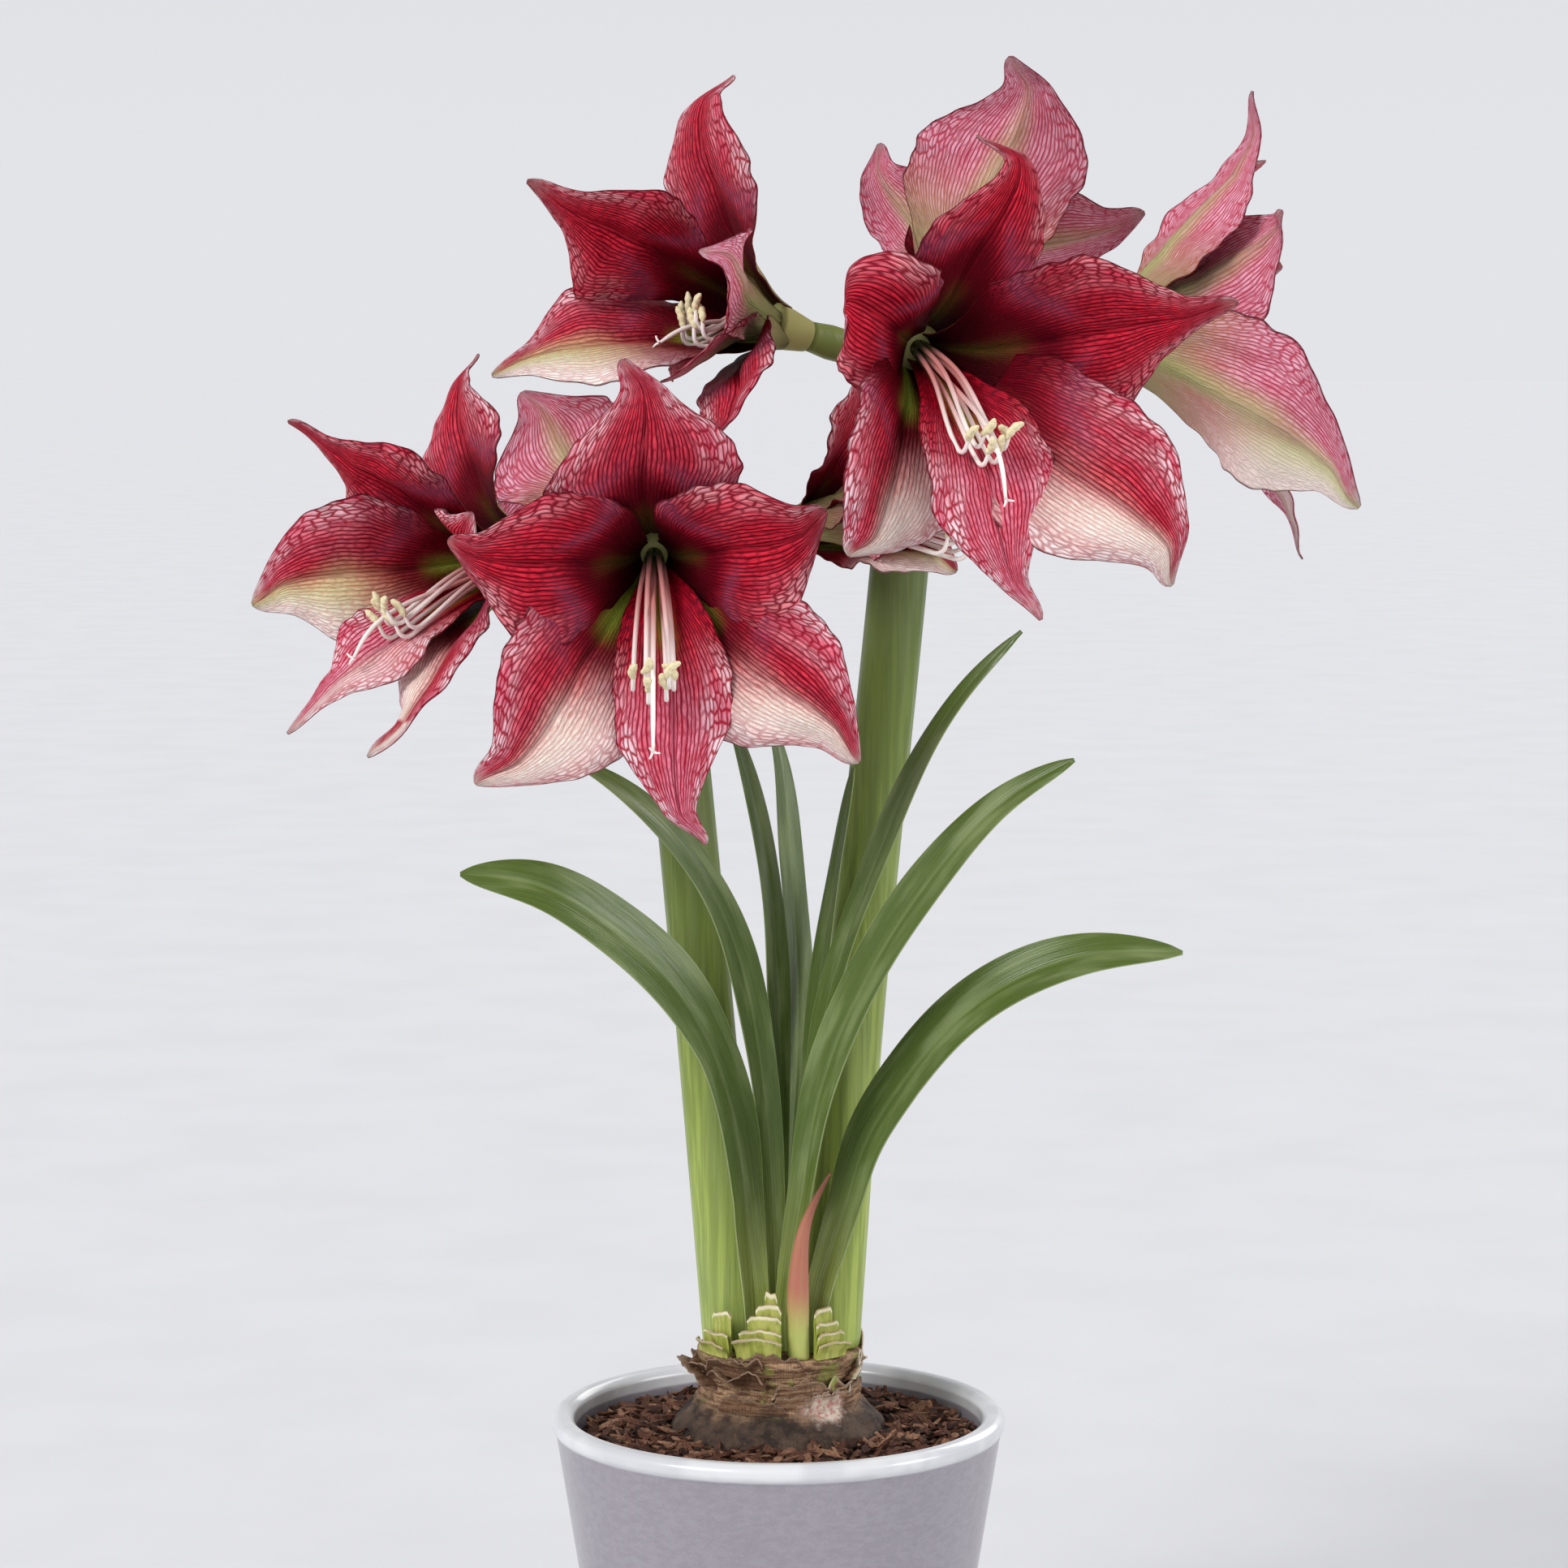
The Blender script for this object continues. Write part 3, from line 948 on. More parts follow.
def make_shoot(finish):
    """Young shoot: a rod along a spline, rolled at its foot and drawn out to a point."""
    rows, sides = 60, 36
    share = np.linspace(0, 1, rows)
    swell = np.sin(math.pi * np.clip(0.30 + 0.50 * share, 0, 1)) ** 1.6 * (1 - share) ** 0.8
    angle = np.arange(sides) * FULL_TURN / sides
    fold = 1 - 0.16 * np.exp(-((angle - 4.4) / 0.22) ** 2)[None] - 0.05 * np.cos(2 * angle)[None]
    made = tube(spline_points(SHOOT, rows), (0.5 + 5.0 * swell)[:, None] * fold, sides, first=UP,
                along=share[:, None], turn=np.abs(angle[None] - math.pi) * 5.0)
    return add_mesh("young_shoot", [made], finish, "shoot_pink")


def shoot_finish(look):
    """Young shoot: thin fresh skin, yellow-green at the foot and blushed above, faintly lined."""
    made, add = new_finish("blushed_shoot")
    turn, along = (add("Attribute", out="Fac", attribute_name=name) for name in ("turn", "along"))
    place = add("CombineXYZ", add("Math", turn, SHOOT_LINE, operation="MULTIPLY"), along, 0.0)
    fine = add("TexNoise", place, None, 1.0, 3.0, 0.5)
    blush = add("MapRange", along, 0.10, 0.38, **SOFT)
    colour = add("MixRGB", blush, look.shoot_low, look.shoot_high)
    tip = add("MapRange", along, 0.62, 0.95, 0.0, 0.85, **SOFT)
    colour = add("MixRGB", tip, colour, look.shoot_tip)
    line = add("MapRange", fine, 0.42, 0.65, 0.0, 0.25, **SOFT)
    colour = add("MixRGB", line, colour, look.shoot_line)
    return complete(made, colour, fine, 0.0003, Roughness=0.42, IOR=1.42,
                    Subsurface_Weight=0.1, Subsurface_Scale=0.0015)


def strip(radius, start, stop, foot, tops, flare, thickness, seed, tear, corner=0.1, fall=0.65):
    """Upright strip round the neck: a piece of a cylinder that flares out, with a torn upper edge.

    Its height follows the tops, loses the share fall over the corners at both ends, and wanders by
    tear times an irregular wave. Its radius grows with the square of the share of the height and
    wanders a little. The value rise is that share, tone the strip's own shade, and girth the
    distance round.
    """
    rows, columns = STRIP_GRID
    angle = np.radians(np.linspace(start, stop, columns + 1))
    rise = np.linspace(0, 1, rows + 1)[:, None]
    turn = np.stack([angle * radius, np.full_like(angle, seed * 5.0)], axis=-1)
    ends = np.linspace(0, 1, columns + 1)
    height = np.interp(ends, np.linspace(0, 1, len(tops)), tops) - foot
    corners = smooth(-0.02, corner, ends) * smooth(1.02, 1 - corner, ends)
    height = height * (1 - fall + fall * corners)
    height = height + tear * ripples(turn, 9.0, seed) + 0.35 * tear * ripples(turn, 2.6, seed + 1)
    height = np.maximum(height, 1.0)[None] * rise
    spot = np.stack(np.broadcast_arrays(angle[None] * radius, height, seed * 9.0), axis=-1)
    reach = radius + flare * rise ** 2 * (1 + 0.40 * ripples(turn, 14.0, seed + 2)[None])
    reach = reach + 0.45 * ripples(spot, 6.0, seed + 3) * rise * thickness
    surface = np.stack([reach * np.cos(angle), reach * np.sin(angle), foot + height], axis=2)
    tone = 0.5 + 0.5 * math.sin(seed * 2.4)
    return blade(surface, thickness, rise=rise, tone=tone, girth=angle[None] * radius)


def skin_wrinkles(points):
    """How far the bulb's skin stands out: waves drawn out upwards, and layers at the neck."""
    height = points[..., 2]
    turn = np.arctan2(points[..., 1], points[..., 0])
    radius = np.hypot(points[..., 0], points[..., 1])
    broad = np.stack([np.cos(turn) * 9.0, np.sin(turn) * 9.0, height * 0.35], axis=-1)
    fine = np.stack([np.cos(turn) * 26.0, np.sin(turn) * 26.0, height * 0.9], axis=-1)
    above_soil = smooth(6.0, 14.0, radius) * smooth(193.0, 186.0, height)
    above_soil = above_soil * smooth(150.0, 158.0, height)
    layers = np.sin(height * 1.15 + 1.6 * np.sin(turn * 2.0) + ripples(broad, 9.0, 6))
    at_neck = smooth(168.0, 174.0, height)
    return above_soil * (0.55 * ripples(broad, 5.0, 3) + 0.3 * ripples(fine, 4.0, 4)
                         + 0.5 * layers * at_neck)


def make_bulb(look, finish):
    """Bulb: its outline turned round Z and wrinkled along its scales, and the torn skin."""
    sides = 180
    outline = BULB_OUTLINE[::-1]
    profile = rounded([(0.0, BULB_BASE_Z)] + outline + [(0.0, NECK_TOP_Z)], 1.2, 2.4)
    girth = np.abs(np.arange(sides) - 90.0)[None] * FULL_TURN / sides * 40.0
    body = turned(profile, sides, skin_wrinkles, rise=-1.0, tone=0.5, girth=girth)
    body["values"].update(rim=np.zeros(len(body["points"])), face=np.ones(len(body["points"])))
    shells = [body]
    rng = np.random.default_rng(look.skin_seed)
    radii, heights = zip(*outline)
    for index in range(look.skin_count):
        low, least, most, in_flare, out_flare = SKIN_LAYERS[index % len(SKIN_LAYERS)]
        start = index * GOLDEN_ANGLE + rng.uniform(-20, 20)
        foot = low + rng.uniform(-1.5, 1.5)
        radius = float(np.interp(foot, heights, radii))
        tops = foot + rng.uniform(least, most, 4)
        shells.append(strip(radius + 0.1, start, start + rng.uniform(30, 85), foot - 1.5, tops,
                            rng.uniform(in_flare, out_flare), 0.6, 100 + index, 1.5))
    return add_mesh("bulb_in_its_skin", shells, finish, "bulb")


def bulb_finish(look):
    """Dry bulb skin: papery and dull, near black at the soil, tan above and pale where torn."""
    made, add = new_finish("papery_bulb_skin")
    place = add("TexCoord", out="Object")
    high = add("SeparateXYZ", place, out="Z")
    girth, rise, tone = (add("Attribute", out="Fac", attribute_name=name)
                         for name in ("girth", "rise", "tone"))
    line = add("CombineXYZ", girth, add("Math", high, 1 / MM, operation="MULTIPLY"), 0.0)
    layer = add("TexNoise", add("Mapping", line, None, None, SKIN_BAND), None, 1.0, 3.0, 0.6)
    fibre = add("TexNoise", add("Mapping", line, None, None, SKIN_FIBRE), None, 1.0, 3.0, 0.6)
    cloud = add("TexNoise", place, None, SKIN_CLOUD, 4.0, 0.62)
    dust = add("TexNoise", place, None, SKIN_DUST, 3.0, 0.6)
    # The dark dome, and the neck in its brown and tan layers, with green scales here and there
    dome = add("MixRGB", add("MapRange", cloud, 0.40, 0.62, **SOFT), look.skin_dark, look.skin_dome)
    dusty = add("MapRange", dust, 0.58, 0.70, 0.0, 0.55, **SOFT)
    dome = add("MixRGB", dusty, dome, look.skin_brown)
    neck = add("MixRGB", add("MapRange", layer, 0.38, 0.60, **SOFT), look.skin_brown, look.skin_tan)
    fibrous = add("MapRange", fibre, 0.42, 0.62, 0.0, 0.45, **SOFT)
    neck = add("MixRGB", fibrous, neck, look.skin_dome)
    shade = add("MapRange", tone, 0.15, 0.60, 0.75, 0.0, **SOFT)
    neck = add("MixRGB", shade, neck, look.skin_brown)
    green = add("Math", add("MapRange", cloud, 0.45, 0.40, **SOFT),
                add("MapRange", tone, 0.45, 0.55, 0.0, 0.9), operation="MULTIPLY")
    neck = add("MixRGB", green, neck, look.skin_green)
    brink = add("Math", cloud, 0.012, high, operation="MULTIPLY_ADD")
    colour = add("MixRGB", add("MapRange", brink, 0.1725, 0.1795, **SOFT), dome, neck)
    # A patch at the front right where the skin has come off, and the pale torn edges
    away = add("VectorMath", add("Mapping", place, None, None, BARE_STRETCH), BARE_CENTRE,
               out="Value", operation="DISTANCE")
    away = add("Math", cloud, 0.036, away, operation="MULTIPLY_ADD")
    bare = add("MapRange", away, 0.021, 0.031, 0.85, 0.0, **SOFT)
    scale = add("MixRGB", add("MapRange", dust, 0.40, 0.56), look.skin_pink, look.skin_pale)
    colour = add("MixRGB", bare, colour, scale)
    torn = add("Math", fibre, 0.35, rise, operation="MULTIPLY_ADD")
    torn = add("MapRange", torn, 0.98, 1.22, 0.0, 1.0, **SOFT)
    torn = add("Math", torn, add("MapRange", tone, 0.40, 0.90, 0.12, 0.9), operation="MULTIPLY")
    colour = add("MixRGB", torn, colour, look.skin_pale)
    relief = add("Math", fibre, layer, operation="ADD")
    relief = add("Math", dust, 0.5, relief, operation="MULTIPLY_ADD")
    return complete(made, colour, relief, 0.0012, Roughness=0.72, IOR=1.45, Specular_IOR_Level=0.3)


def make_leaf_base(name, finish):
    """Cut base of an old leaf: nested scales, each lower and wider than the one inside it."""
    radius, start, stop, first, last = LEAF_BASES[name]
    layers, span = (3 if name == "left" else 4), stop - start
    shells = []
    rng = np.random.default_rng(start)
    for index in range(layers):
        share = index / (layers - 1)
        inset = span * 0.42 * (1 - share) ** 1.3
        left, right = (start, stop - inset) if name == "right" else (start + inset, stop)
        lowered = 1 - 0.66 * share + rng.uniform(-0.05, 0.05)
        top = STEM_FOOT_Z + (max(first, last) - STEM_FOOT_Z) * lowered
        shells.append(strip(radius - 0.9 + 2.4 * share, left, right, STEM_FOOT_Z,
                            top + rng.uniform(-1.3, 0.6, 3), 0.6 + 2.2 * share, 0.8,
                            300 + index + start, 0.3, corner=0.14, fall=0.10))
    return add_mesh("stump_" + name, shells, finish, "leaf_base_" + name)


def stump_finish(look):
    """Cut leaf base: fleshy and moist, green outside, drying to cream and brown along the cut."""
    made, add = new_finish("cut_leaf_base")
    place = add("TexCoord", out="Object")
    rise = add("Attribute", out="Fac", attribute_name="rise")
    grain = add("TexNoise", add("Mapping", place, None, None, STUMP_GRAIN), None, 1.0, 3.0, 0.5)
    spot = add("TexNoise", place, None, STUMP_SPOT, 3.0, 0.6)
    streak = add("MapRange", grain, 0.35, 0.65, **SOFT)
    colour = add("MixRGB", streak, look.stump_green, look.stump_yellow)
    for share, shade in ((add("MapRange", spot, 0.56, 0.72, 0.0, 0.7, **SOFT), look.stump_brown),
                         (add("MapRange", rise, 0.90, 0.95, 0.0, 0.9, **SOFT), look.stump_cut),
                         (add("MapRange", rise, 0.985, 1.0, 0.0, 0.7, **SOFT), look.stump_brown)):
        colour = add("MixRGB", share, colour, shade)
    return complete(made, colour, grain, 0.0004, Roughness=0.5, IOR=1.42)


def bark_chips(look, edge, mound):
    """Bark chips strewn over the soil: bars of four rings of four points, narrower at their ends.

    Each is sized, turned and tilted by seeded draws and lies on the mound, a profile of radii and
    heights. Where it would reach past the pot's wall, it is drawn in.
    """
    rng = np.random.default_rng(look.chip_seed)
    count = look.chip_count
    ring = np.array([(1.0, 0.55), (-1.0, 0.55), (-0.8, -0.75), (0.8, -0.75)])
    at = np.array([-1.0, -0.45, 0.45, 1.0])
    full = np.array([0.55, 1.0, 0.95, 0.45])
    section = np.tile(ring, (4, 1)) * np.repeat(full, 4)[:, None]
    bar = np.concatenate([np.repeat(at, 4)[:, None], section], axis=1)
    size = np.stack([rng.uniform(low, high, count)
                     for low, high in ((1.4, 6.2), (0.7, 1.9), (0.5, 1.3))], axis=1)
    chips = bar[None] * size[:, None] * (1 + rng.uniform(-0.22, 0.22, (count, 16, 1)))
    yaw = rng.uniform(0, FULL_TURN, count)
    pitch = rng.normal(0, 0.30, count)
    roll = rng.uniform(-0.7, 0.7, count)
    cy, sy, cp, sp, cr, sr = (g(a) for a in (yaw, pitch, roll) for g in (np.cos, np.sin))
    matrix = np.stack([cy * cp, cy * sp * sr - sy * cr, cy * sp * cr + sy * sr,
                       sy * cp, sy * sp * sr + cy * cr, sy * sp * cr - cy * sr,
                       -sp, cp * sr, cp * cr], axis=1).reshape(count, 3, 3)
    chips = np.einsum("kij,knj->kni", matrix, chips)
    turn = rng.uniform(0, FULL_TURN, count)
    away = np.sqrt(rng.uniform(CHIPS_FROM ** 2, (edge - 3.5) ** 2, count))
    rest = np.interp(away, *mound) + rng.uniform(-0.4, 1.6, count)
    chips = chips + np.stack([away * np.cos(turn), away * np.sin(turn), rest], axis=1)[:, None]
    pull = np.minimum(1.0, (edge - 0.4) / np.hypot(chips[..., 0], chips[..., 1]))[..., None]
    chips = chips * np.concatenate([pull, pull, np.ones_like(pull)], axis=-1)
    near = np.arange(4)
    far = (near + 1) % 4
    walls = [np.stack([near, far, far + 4, near + 4], axis=1) + 4 * i for i in range(3)]
    faces = np.concatenate(walls + [np.array([[3, 2, 1, 0], [12, 13, 14, 15]])])
    quads = (faces[None] + 16 * np.arange(count)[:, None, None]).reshape(-1, 4)
    tone = np.repeat(rng.uniform(0.0, 1.0, count), 16)
    return shell(chips.reshape(-1, 3), quads, tone=tone)


def make_soil(look, finish):
    """Soil that fills the pot round the bulb: a turned body with a lumpy top, and bark chips."""
    slope = (RIM_RADIUS - FOOT_RADIUS) / RIM_Z
    foot = FOOT_RADIUS + slope * FLOOR - WALL - 0.3
    inner_top = RIM_RADIUS - RIM_WIDTH - 0.3
    flare = (inner_top - foot) / (RIM_Z - RIM_DEPTH - FLOOR)
    edge = foot + flare * (SOIL_EDGE_Z - 3.0 - FLOOR) - 0.4
    mound = [(edge, SOIL_EDGE_Z - 1.0), (70.0, SOIL_EDGE_Z + 0.6), (58.0, SOIL_MOUND_Z - 2.2)]
    pit = [(r + 0.4, z) for r, z in BULB_OUTLINE if z < SOIL_MOUND_Z - 1.0]
    profile = [(0.0, FLOOR + 0.3), (foot, FLOOR + 0.3), *mound, (pit[0][0] + 0.6, SOIL_MOUND_Z),
               *pit, (0.0, BULB_BASE_Z - 0.3)]
    profile = dense(profile, 3.0)
    profile[0, 0] = profile[-1, 0] = ON_AXIS
    body = turned(profile, 120, tone=0.15)
    points = body["points"]
    radius = np.hypot(points[:, 0], points[:, 1])
    top = smooth(SOIL_EDGE_Z - 2.0, SOIL_EDGE_Z, points[:, 2])
    top = top * smooth(edge + 0.5, edge - 2.0, radius)
    points[:, 2] += top * (0.9 * ripples(points, 6.0, 21) - 0.6)
    chips = bark_chips(look, edge, list(zip(*([(45.0, SOIL_MOUND_Z)] + mound[::-1]))))
    thing = add_mesh("bark_and_coir_soil", [body, chips], finish, "soil")
    thing.data.polygons.foreach_set("use_smooth", np.zeros(len(thing.data.polygons), bool))
    return thing


def soil_finish(look):
    """Bark and coir: rough, dull, red-brown chips over dark crumbs, each chip of its own shade."""
    made, add = new_finish("bark_and_coir")
    tone = add("Attribute", out="Fac", attribute_name="tone")
    fibre = add("TexNoise", add("TexCoord", out="Object"), None, BARK_FIBRE, 3.0, 0.7)
    colour = add("MixRGB", add("MapRange", tone, 0.0, 0.50, **SOFT), look.soil_dark, look.soil_red)
    colour = add("MixRGB", add("MapRange", tone, 0.55, 1.0, **SOFT), colour, look.soil_light)
    dark = add("MapRange", fibre, 0.35, 0.65, 0.0, 0.55, **SOFT)
    colour = add("MixRGB", dark, colour, look.soil_dark)
    return complete(made, colour, fibre, 0.0008, Roughness=0.85, IOR=1.5, Specular_IOR_Level=0.25)


def make_pot(finish):
    """Pot: its profile, from the base up and over the rim, with eased corners, turned round Z."""
    inner_top = RIM_RADIUS - RIM_WIDTH
    inner_foot = FOOT_RADIUS + (RIM_RADIUS - FOOT_RADIUS) / RIM_Z * FLOOR - WALL
    profile = [(ON_AXIS, 0.0), (FOOT_RADIUS - 1.0, 0.0), (FOOT_RADIUS + 1.2, 1.4),
               (RIM_RADIUS - 1.6, RIM_Z - 7.5), (RIM_RADIUS, RIM_Z - 5.5),
               (RIM_RADIUS, RIM_Z - 2.0), (RIM_RADIUS - 2.5, RIM_Z), (inner_top + 2.5, RIM_Z),
               (inner_top, RIM_Z - 2.5), (inner_top, RIM_Z - RIM_DEPTH), (inner_foot, FLOOR),
               (ON_AXIS, FLOOR)]
    fine = rounded(profile, 0.5, 1.2)
    bend = np.linalg.norm(np.diff(fine, 2, axis=0), axis=1)
    keep = np.r_[True, (bend > 1e-4) | (np.arange(len(bend)) % 12 == 0), True]
    return add_mesh("glazed_pot", [turned(fine[keep], 180)], finish, "pot")


def pot_finish(look):
    """Glazed earthenware: a glossy lilac-grey coat, finely mottled, thin and white at the rim."""
    made, add = new_finish("earthenware_glaze")
    place = add("TexCoord", out="Object")
    high = add("SeparateXYZ", place, out="Z")
    mottle = add("TexNoise", add("Mapping", place, None, None, GLAZE_MOTTLE), None, 1.0, 4.0, 0.6)
    speck = add("TexNoise", place, None, GLAZE_SPECK, 2.0, 0.5)
    pool = add("TexNoise", place, None, GLAZE_POOL, 2.0, 0.5)
    body = add("MixRGB", add("MapRange", mottle, 0.35, 0.65, **SOFT), look.glaze_shade, look.glaze)
    light = add("MapRange", speck, 0.62, 0.74, 0.0, 0.30, **SOFT)
    body = add("MixRGB", light, body, look.glaze_speck)
    dark = add("MapRange", speck, 0.34, 0.26, 0.0, 0.35, **SOFT)
    body = add("MixRGB", dark, body, look.glaze_pit)
    brink = add("Math", pool, 0.5, operation="SUBTRACT")
    brink = add("Math", brink, 0.0016, high, operation="MULTIPLY_ADD")
    thin = add("MapRange", pool, 0.4, 0.6, **SOFT)
    rim = add("MixRGB", thin, look.glaze_rim, look.glaze_rim_shade)
    colour = add("MixRGB", add("MapRange", brink, 0.1572, 0.1586, **SOFT), body, rim)
    return complete(made, colour, pool, 0.0003, Roughness=0.28, IOR=1.5, Coat_Weight=0.3,
                    Coat_Roughness=0.08)


def make_floor(look):
    """Plain floor: a large flat square, matt, so that only soft shade shows on it."""
    mesh = bpy.data.meshes.new("floor")
    half = FLOOR_HALF
    mesh.from_pydata([(-half, -half, 0), (half, -half, 0), (half, half, 0), (-half, half, 0)], [],
                     [(0, 1, 2, 3)])
    made, add = new_finish("matt_floor")
    grain = add("TexNoise", add("TexCoord", out="Object"), None, FLOOR_GRAIN, 3.0, 0.5)
    shade = add("MapRange", grain, 0.3, 0.7, 0.0, 0.04)
    colour = add("MixRGB", shade, look.floor_colour, (0, 0, 0, 1))
    mesh.materials.append(complete(made, colour, grain, 0.0001, Roughness=0.9,
                                   Specular_IOR_Level=0.1))
    add_to_scene("floor", mesh)


def light_room(look):
    """Soft room: light all round, brighter at the horizon than above, and three wide lamps."""
    world = bpy.data.worlds.new("soft_room")
    bpy.context.scene.world = world
    world.use_nodes = True
    add = functools.partial(add_node, world.node_tree)
    rise = add("MapRange", add("SeparateXYZ", add("TexCoord"), out="Z"), 0.02, 0.50, **SOFT)
    background = world.node_tree.nodes["Background"]
    world.node_tree.links.new(add("MixRGB", rise, look.horizon, look.ceiling),
                              background.inputs["Color"])
    background.inputs["Strength"].default_value = look.room_light
    for name, (way, share) in LAMPS.items():
        lamp = bpy.data.lights.new(name, "SUN")
        lamp.energy, lamp.angle = look.key_light * share, math.radians(LAMP_SPREAD)
        tilt = math.atan2(math.hypot(way[0], way[1]), way[2])
        turn = math.atan2(way[1], way[0]) + math.pi / 2
        add_to_scene(name, lamp).rotation_euler = (tilt, 0.0, turn)


def set_camera(look):
    """Camera where the photograph was taken from: far off, level with the blooms, tilted down."""
    lens = bpy.data.cameras.new("camera")
    lens.lens, lens.sensor_width = look.camera_lens, SENSOR_WIDTH
    camera = add_to_scene("camera", lens)
    camera.location = CAMERA_PLACE
    camera.rotation_euler = (math.radians(90.0 - CAMERA_TILT), 0.0, 0.0)
    bpy.context.scene.camera = camera
    bpy.context.scene.view_settings.view_transform = "Standard"


def tint(name, code, about):
    """Colour property with an sRGB hex default."""
    return FloatVectorProperty(name=name, description=about, subtype="COLOR", size=4, min=0.0,
                               max=1.0, default=linear(code))


class PotSettings(bpy.types.PropertyGroup):
    glaze: tint("Glaze", "#969199", "Lilac-grey glaze of the pot's side")
    glaze_shade: tint("Glaze shade", "#8e8991", "Darker mottling of the glaze")
    glaze_speck: tint("Glaze speck", "#b9b7c0", "Pale specks in the glaze")
    glaze_pit: tint("Glaze pit", "#7d7a84", "Dark specks in the glaze")
    glaze_rim: tint("Rim", "#d9dadc", "White glaze of the rim")
    glaze_rim_shade: tint("Rim shade", "#cbccd0", "Thinner glaze of the rim")


class SoilSettings(bpy.types.PropertyGroup):
    chip_count: IntProperty(name="Chips", description="Bark chips on the soil", default=1500,
                            min=1, max=3000)
    chip_seed: IntProperty(name="Seed", description="Seed of the chips' places", default=5, min=0)
    soil_dark: tint("Dark crumbs", "#2b1a14", "Dark crumbs between the chips")
    soil_red: tint("Red bark", "#6b4534", "Most of the chips")
    soil_light: tint("Light bark", "#a37a60", "Palest chips")


class BulbSettings(bpy.types.PropertyGroup):
    skin_count: IntProperty(name="Skin flakes", description="Torn flakes of papery skin",
                            default=26, min=0, max=60)
    skin_seed: IntProperty(name="Seed", description="Seed of the flakes", default=8, min=0)
    skin_dark: tint("Dark skin", "#2f2520", "Darkest skin of the dome")
    skin_dome: tint("Dome", "#57463a", "Skin of the dome above the soil")
    skin_brown: tint("Brown skin", "#6c4c36", "Brown layers of the neck")
    skin_tan: tint("Tan skin", "#c09c78", "Tan layers of the neck")
    skin_pale: tint("Torn edge", "#e6d8c6", "Torn edges of the skin")
    skin_pink: tint("Bare scale", "#c98f86", "Pink streaks where the skin has come off")
    skin_green: tint("Living scale", "#98a548", "Green scale that shows through")
    stump_green: tint("Cut base", "#8e983e", "Outside of a cut leaf base")
    stump_yellow: tint("Cut base, pale", "#b0b25c", "Paler streaks of a cut leaf base")
    stump_cut: tint("Cut", "#e6dcbc", "Drying cut of a leaf base")
    stump_brown: tint("Dried cut", "#8a6a45", "Brown brink of a cut leaf base")


class LeafSettings(bpy.types.PropertyGroup):
    leaf_thickness: FloatProperty(name="Thickness", description="Leaf at its midrib",
                                  default=0.0021, min=0.0006, max=0.004, unit="LENGTH",
                                  subtype="DISTANCE", precision=5)
    leaf_low: tint("Foot", "#8b9746", "Leaf near the bulb")
    leaf_high: tint("Blade", "#506424", "Blade of the leaf")
    leaf_shade: tint("Lines", "#3f4f1f", "Fine lines along the leaf")
    leaf_wax: tint("Wax", "#a0ad78", "Grey wax bloom on the leaf")
    leaf_edge: tint("Margin", "#a9b482", "Thin pale margin")
    shoot_low: tint("Shoot foot", "#b3ba68", "Foot of the young shoot")
    shoot_high: tint("Shoot blush", "#b8705e", "Blush of the young shoot")
    shoot_tip: tint("Shoot tip", "#6a302c", "Tip of the young shoot")
    shoot_line: tint("Shoot lines", "#a3a35c", "Pale lines of the young shoot")


class StemSettings(bpy.types.PropertyGroup):
    stem_low: tint("Foot", "#acbd5e", "Stem near the bulb")
    stem_high: tint("Stem", "#5c6e2e", "Upper part of the stem")
    stem_shade: tint("Streaks", "#4d5e2a", "Darker streaks")
    stem_wax: tint("Wax", "#8b9a72", "Grey wax bloom")
    stem_flush: tint("Flush", "#4e3a38", "Purple flush below the umbel")
    stalk: tint("Stalk", "#84904a", "Stalks and ovaries")


class BloomSettings(bpy.types.PropertyGroup):
    vein_spacing: FloatProperty(name="Vein spacing",
                                description="Distance between veins where they fan out",
                                default=0.0024, min=0.0005, max=0.006, unit="LENGTH",
                                subtype="DISTANCE", precision=5)
    crimson: tint("Crimson", "#b00922", "Velvety body of the tepals")
    scarlet: tint("Scarlet", "#dc1c34", "Lighter streaks of the body")
    vein: tint("Vein", "#520110", "Dark veins and margin")
    net: tint("Net", "#a60a2a", "Veins between the pale cells")
    cell: tint("Net cell", "#e88fa6", "Pink cells between the veins")
    cell_white: tint("White cell", "#fbe2e8", "Palest cells between the veins")
    cream: tint("Cream", "#fff8ee", "Pale half of the lower tepals")
    green: tint("Green", "#cfd88a", "Green of midribs and of the pale half")
    rib: tint("Rib", "#b3b57c", "Olive midrib on the tepals' backs")
    tube: tint("Tube", "#a3a86a", "Green of the tube and of the tepals' feet")
    lime: tint("Throat stripe", "#93a03a", "Green stripe in the throat")
    haze: tint("Haze", "#714a68", "Greyish mauve round the throat star")
    dusk: tint("Dusk", "#5c0416", "Deepening towards the throat")
    throat: tint("Throat", "#1c0407", "Darkest part of the throat")
    throat_red: tint("Throat red", "#560414", "Maroon end of the throat star")
    back: tint("Back", "#cf3558", "Body of the tepals' backs")
    back_vein: tint("Back vein", "#ae123c", "Veins on the tepals' backs")
    back_cell: tint("Back cell", "#fbcfe2", "Cells on the tepals' backs")
    filament: tint("Filament", "#f4ece6", "White end of the filaments")
    filament_blush: tint("Filament blush", "#c9817c", "Blush of the filaments")
    filament_foot: tint("Filament foot", "#3a421f", "Foot of the filaments")
    anther: tint("Pollen", "#faf0cc", "Pollen on the anthers")
    anther_shade: tint("Pollen shade", "#e2d3a2", "Shade in the pollen")


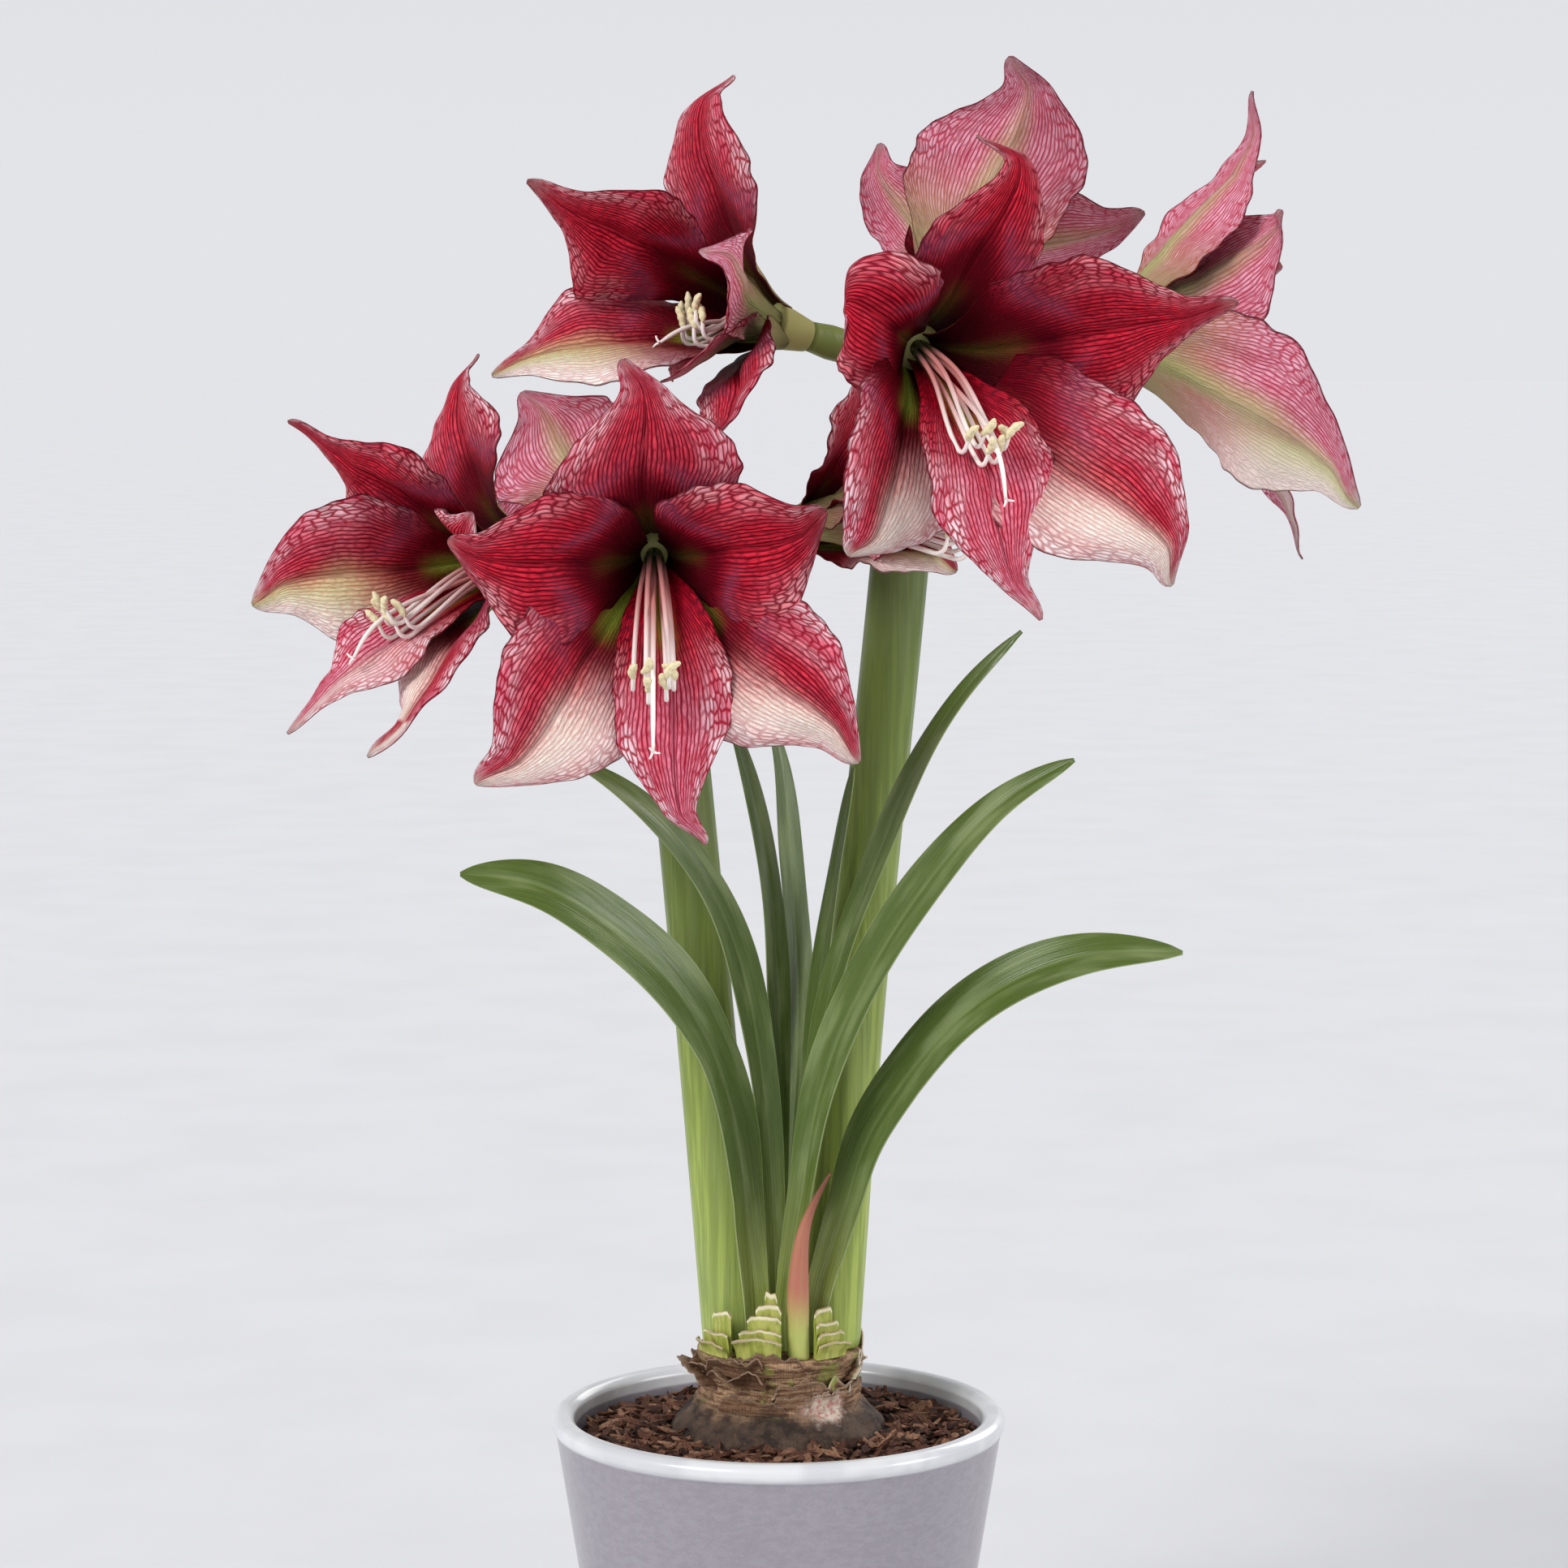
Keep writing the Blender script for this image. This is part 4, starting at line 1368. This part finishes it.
class StageSettings(bpy.types.PropertyGroup):
    floor_colour: tint("Floor", "#dcdcdf", "Plain pale floor")
    horizon: tint("Horizon", "#e7e8ec", "Light of the room at the floor's far edge")
    ceiling: tint("Ceiling", "#b4b5b8", "Light of the room from above")
    key_light: FloatProperty(name="Key light", description="Strength of the large soft light",
                             default=2.2, min=0.0)
    room_light: FloatProperty(name="Room light", description="Strength of the light all round",
                              default=0.96, min=0.0)
    camera_lens: FloatProperty(name="Lens", description="Focal length", default=100.62, min=10.0,
                               unit="CAMERA")


class AmaryllisSettings(bpy.types.PropertyGroup):
    pot: PointerProperty(type=PotSettings)
    soil: PointerProperty(type=SoilSettings)
    bulb: PointerProperty(type=BulbSettings)
    leaf: PointerProperty(type=LeafSettings)
    stem: PointerProperty(type=StemSettings)
    bloom: PointerProperty(type=BloomSettings)
    stage: PointerProperty(type=StageSettings)


class AMARYLLIS_OT_stage(bpy.types.Operator):
    """Floor, soft lights and camera."""
    bl_idname = "amaryllis.stage"
    bl_label = "Stage"

    def execute(self, context):
        look = context.scene.amaryllis.stage
        make_floor(look)
        light_room(look)
        set_camera(look)
        return {"FINISHED"}


class AMARYLLIS_OT_pot(bpy.types.Operator):
    """Glazed pot."""
    bl_idname = "amaryllis.pot"
    bl_label = "Pot"

    def execute(self, context):
        make_pot(pot_finish(context.scene.amaryllis.pot))
        return {"FINISHED"}


class AMARYLLIS_OT_soil(bpy.types.Operator):
    """Soil with its bark chips."""
    bl_idname = "amaryllis.soil"
    bl_label = "Soil"

    def execute(self, context):
        look = context.scene.amaryllis.soil
        make_soil(look, soil_finish(look))
        return {"FINISHED"}


class AMARYLLIS_OT_bulb(bpy.types.Operator):
    """Bulb with its torn skin, and the cut leaf bases round its neck."""
    bl_idname = "amaryllis.bulb"
    bl_label = "Bulb"

    def execute(self, context):
        look = context.scene.amaryllis.bulb
        make_bulb(look, bulb_finish(look))
        finish = stump_finish(look)
        for name in LEAF_BASES:
            make_leaf_base(name, finish)
        return {"FINISHED"}


class AMARYLLIS_OT_leaves(bpy.types.Operator):
    """Strap leaves and the young shoot."""
    bl_idname = "amaryllis.leaves"
    bl_label = "Leaves"

    def execute(self, context):
        look = context.scene.amaryllis.leaf
        finish = leaf_finish(look)
        for name in LEAVES:
            make_leaf(name, look, finish)
        make_shoot(shoot_finish(look))
        return {"FINISHED"}


class AMARYLLIS_OT_stems(bpy.types.Operator):
    """Stems with their stalks and ovaries."""
    bl_idname = "amaryllis.stems"
    bl_label = "Stems"

    def execute(self, context):
        finish = stem_finish(context.scene.amaryllis.stem)
        for name in STEMS:
            make_stem(name, finish)
        return {"FINISHED"}


class AMARYLLIS_OT_blooms(bpy.types.Operator):
    """Tepals, stamens and style of each bloom."""
    bl_idname = "amaryllis.blooms"
    bl_label = "Blooms"

    def execute(self, context):
        look = context.scene.amaryllis.bloom
        tissue, pollen = tepal_finish(look), stamen_finish(look)
        for name in BLOOMS:
            make_tepals(name, look, tissue)
            make_stamens(name, pollen)
        return {"FINISHED"}


OPERATORS = (AMARYLLIS_OT_stage, AMARYLLIS_OT_pot, AMARYLLIS_OT_soil, AMARYLLIS_OT_bulb,
             AMARYLLIS_OT_leaves, AMARYLLIS_OT_stems, AMARYLLIS_OT_blooms)


class AMARYLLIS_PT_panel(bpy.types.Panel):
    """The pieces of the amaryllis and their settings."""
    bl_idname = "AMARYLLIS_PT_panel"
    bl_label = "Amaryllis in a pot"
    bl_space_type = "VIEW_3D"
    bl_region_type = "UI"
    bl_category = "Amaryllis"

    def draw(self, context):
        for made in OPERATORS:
            self.layout.operator(made.bl_idname)
        for name in AmaryllisSettings.__annotations__:
            box = self.layout.box()
            box.label(text=name.capitalize())
            settings = getattr(context.scene.amaryllis, name)
            for key in settings.bl_rna.properties.keys():
                if key not in ("rna_type", "name"):
                    box.prop(settings, key)


CLASSES = (PotSettings, SoilSettings, BulbSettings, LeafSettings, StemSettings, BloomSettings,
           StageSettings, AmaryllisSettings, *OPERATORS, AMARYLLIS_PT_panel)


def register():
    for made in CLASSES:
        bpy.utils.register_class(made)
    bpy.types.Scene.amaryllis = PointerProperty(type=AmaryllisSettings)


def unregister():
    del bpy.types.Scene.amaryllis
    for made in reversed(CLASSES):
        bpy.utils.unregister_class(made)


def main():
    register()
    bpy.ops.amaryllis.stage()
    bpy.ops.amaryllis.pot()
    bpy.ops.amaryllis.soil()
    bpy.ops.amaryllis.bulb()
    bpy.ops.amaryllis.leaves()
    bpy.ops.amaryllis.stems()
    bpy.ops.amaryllis.blooms()


if __name__ == "__main__":
    main()
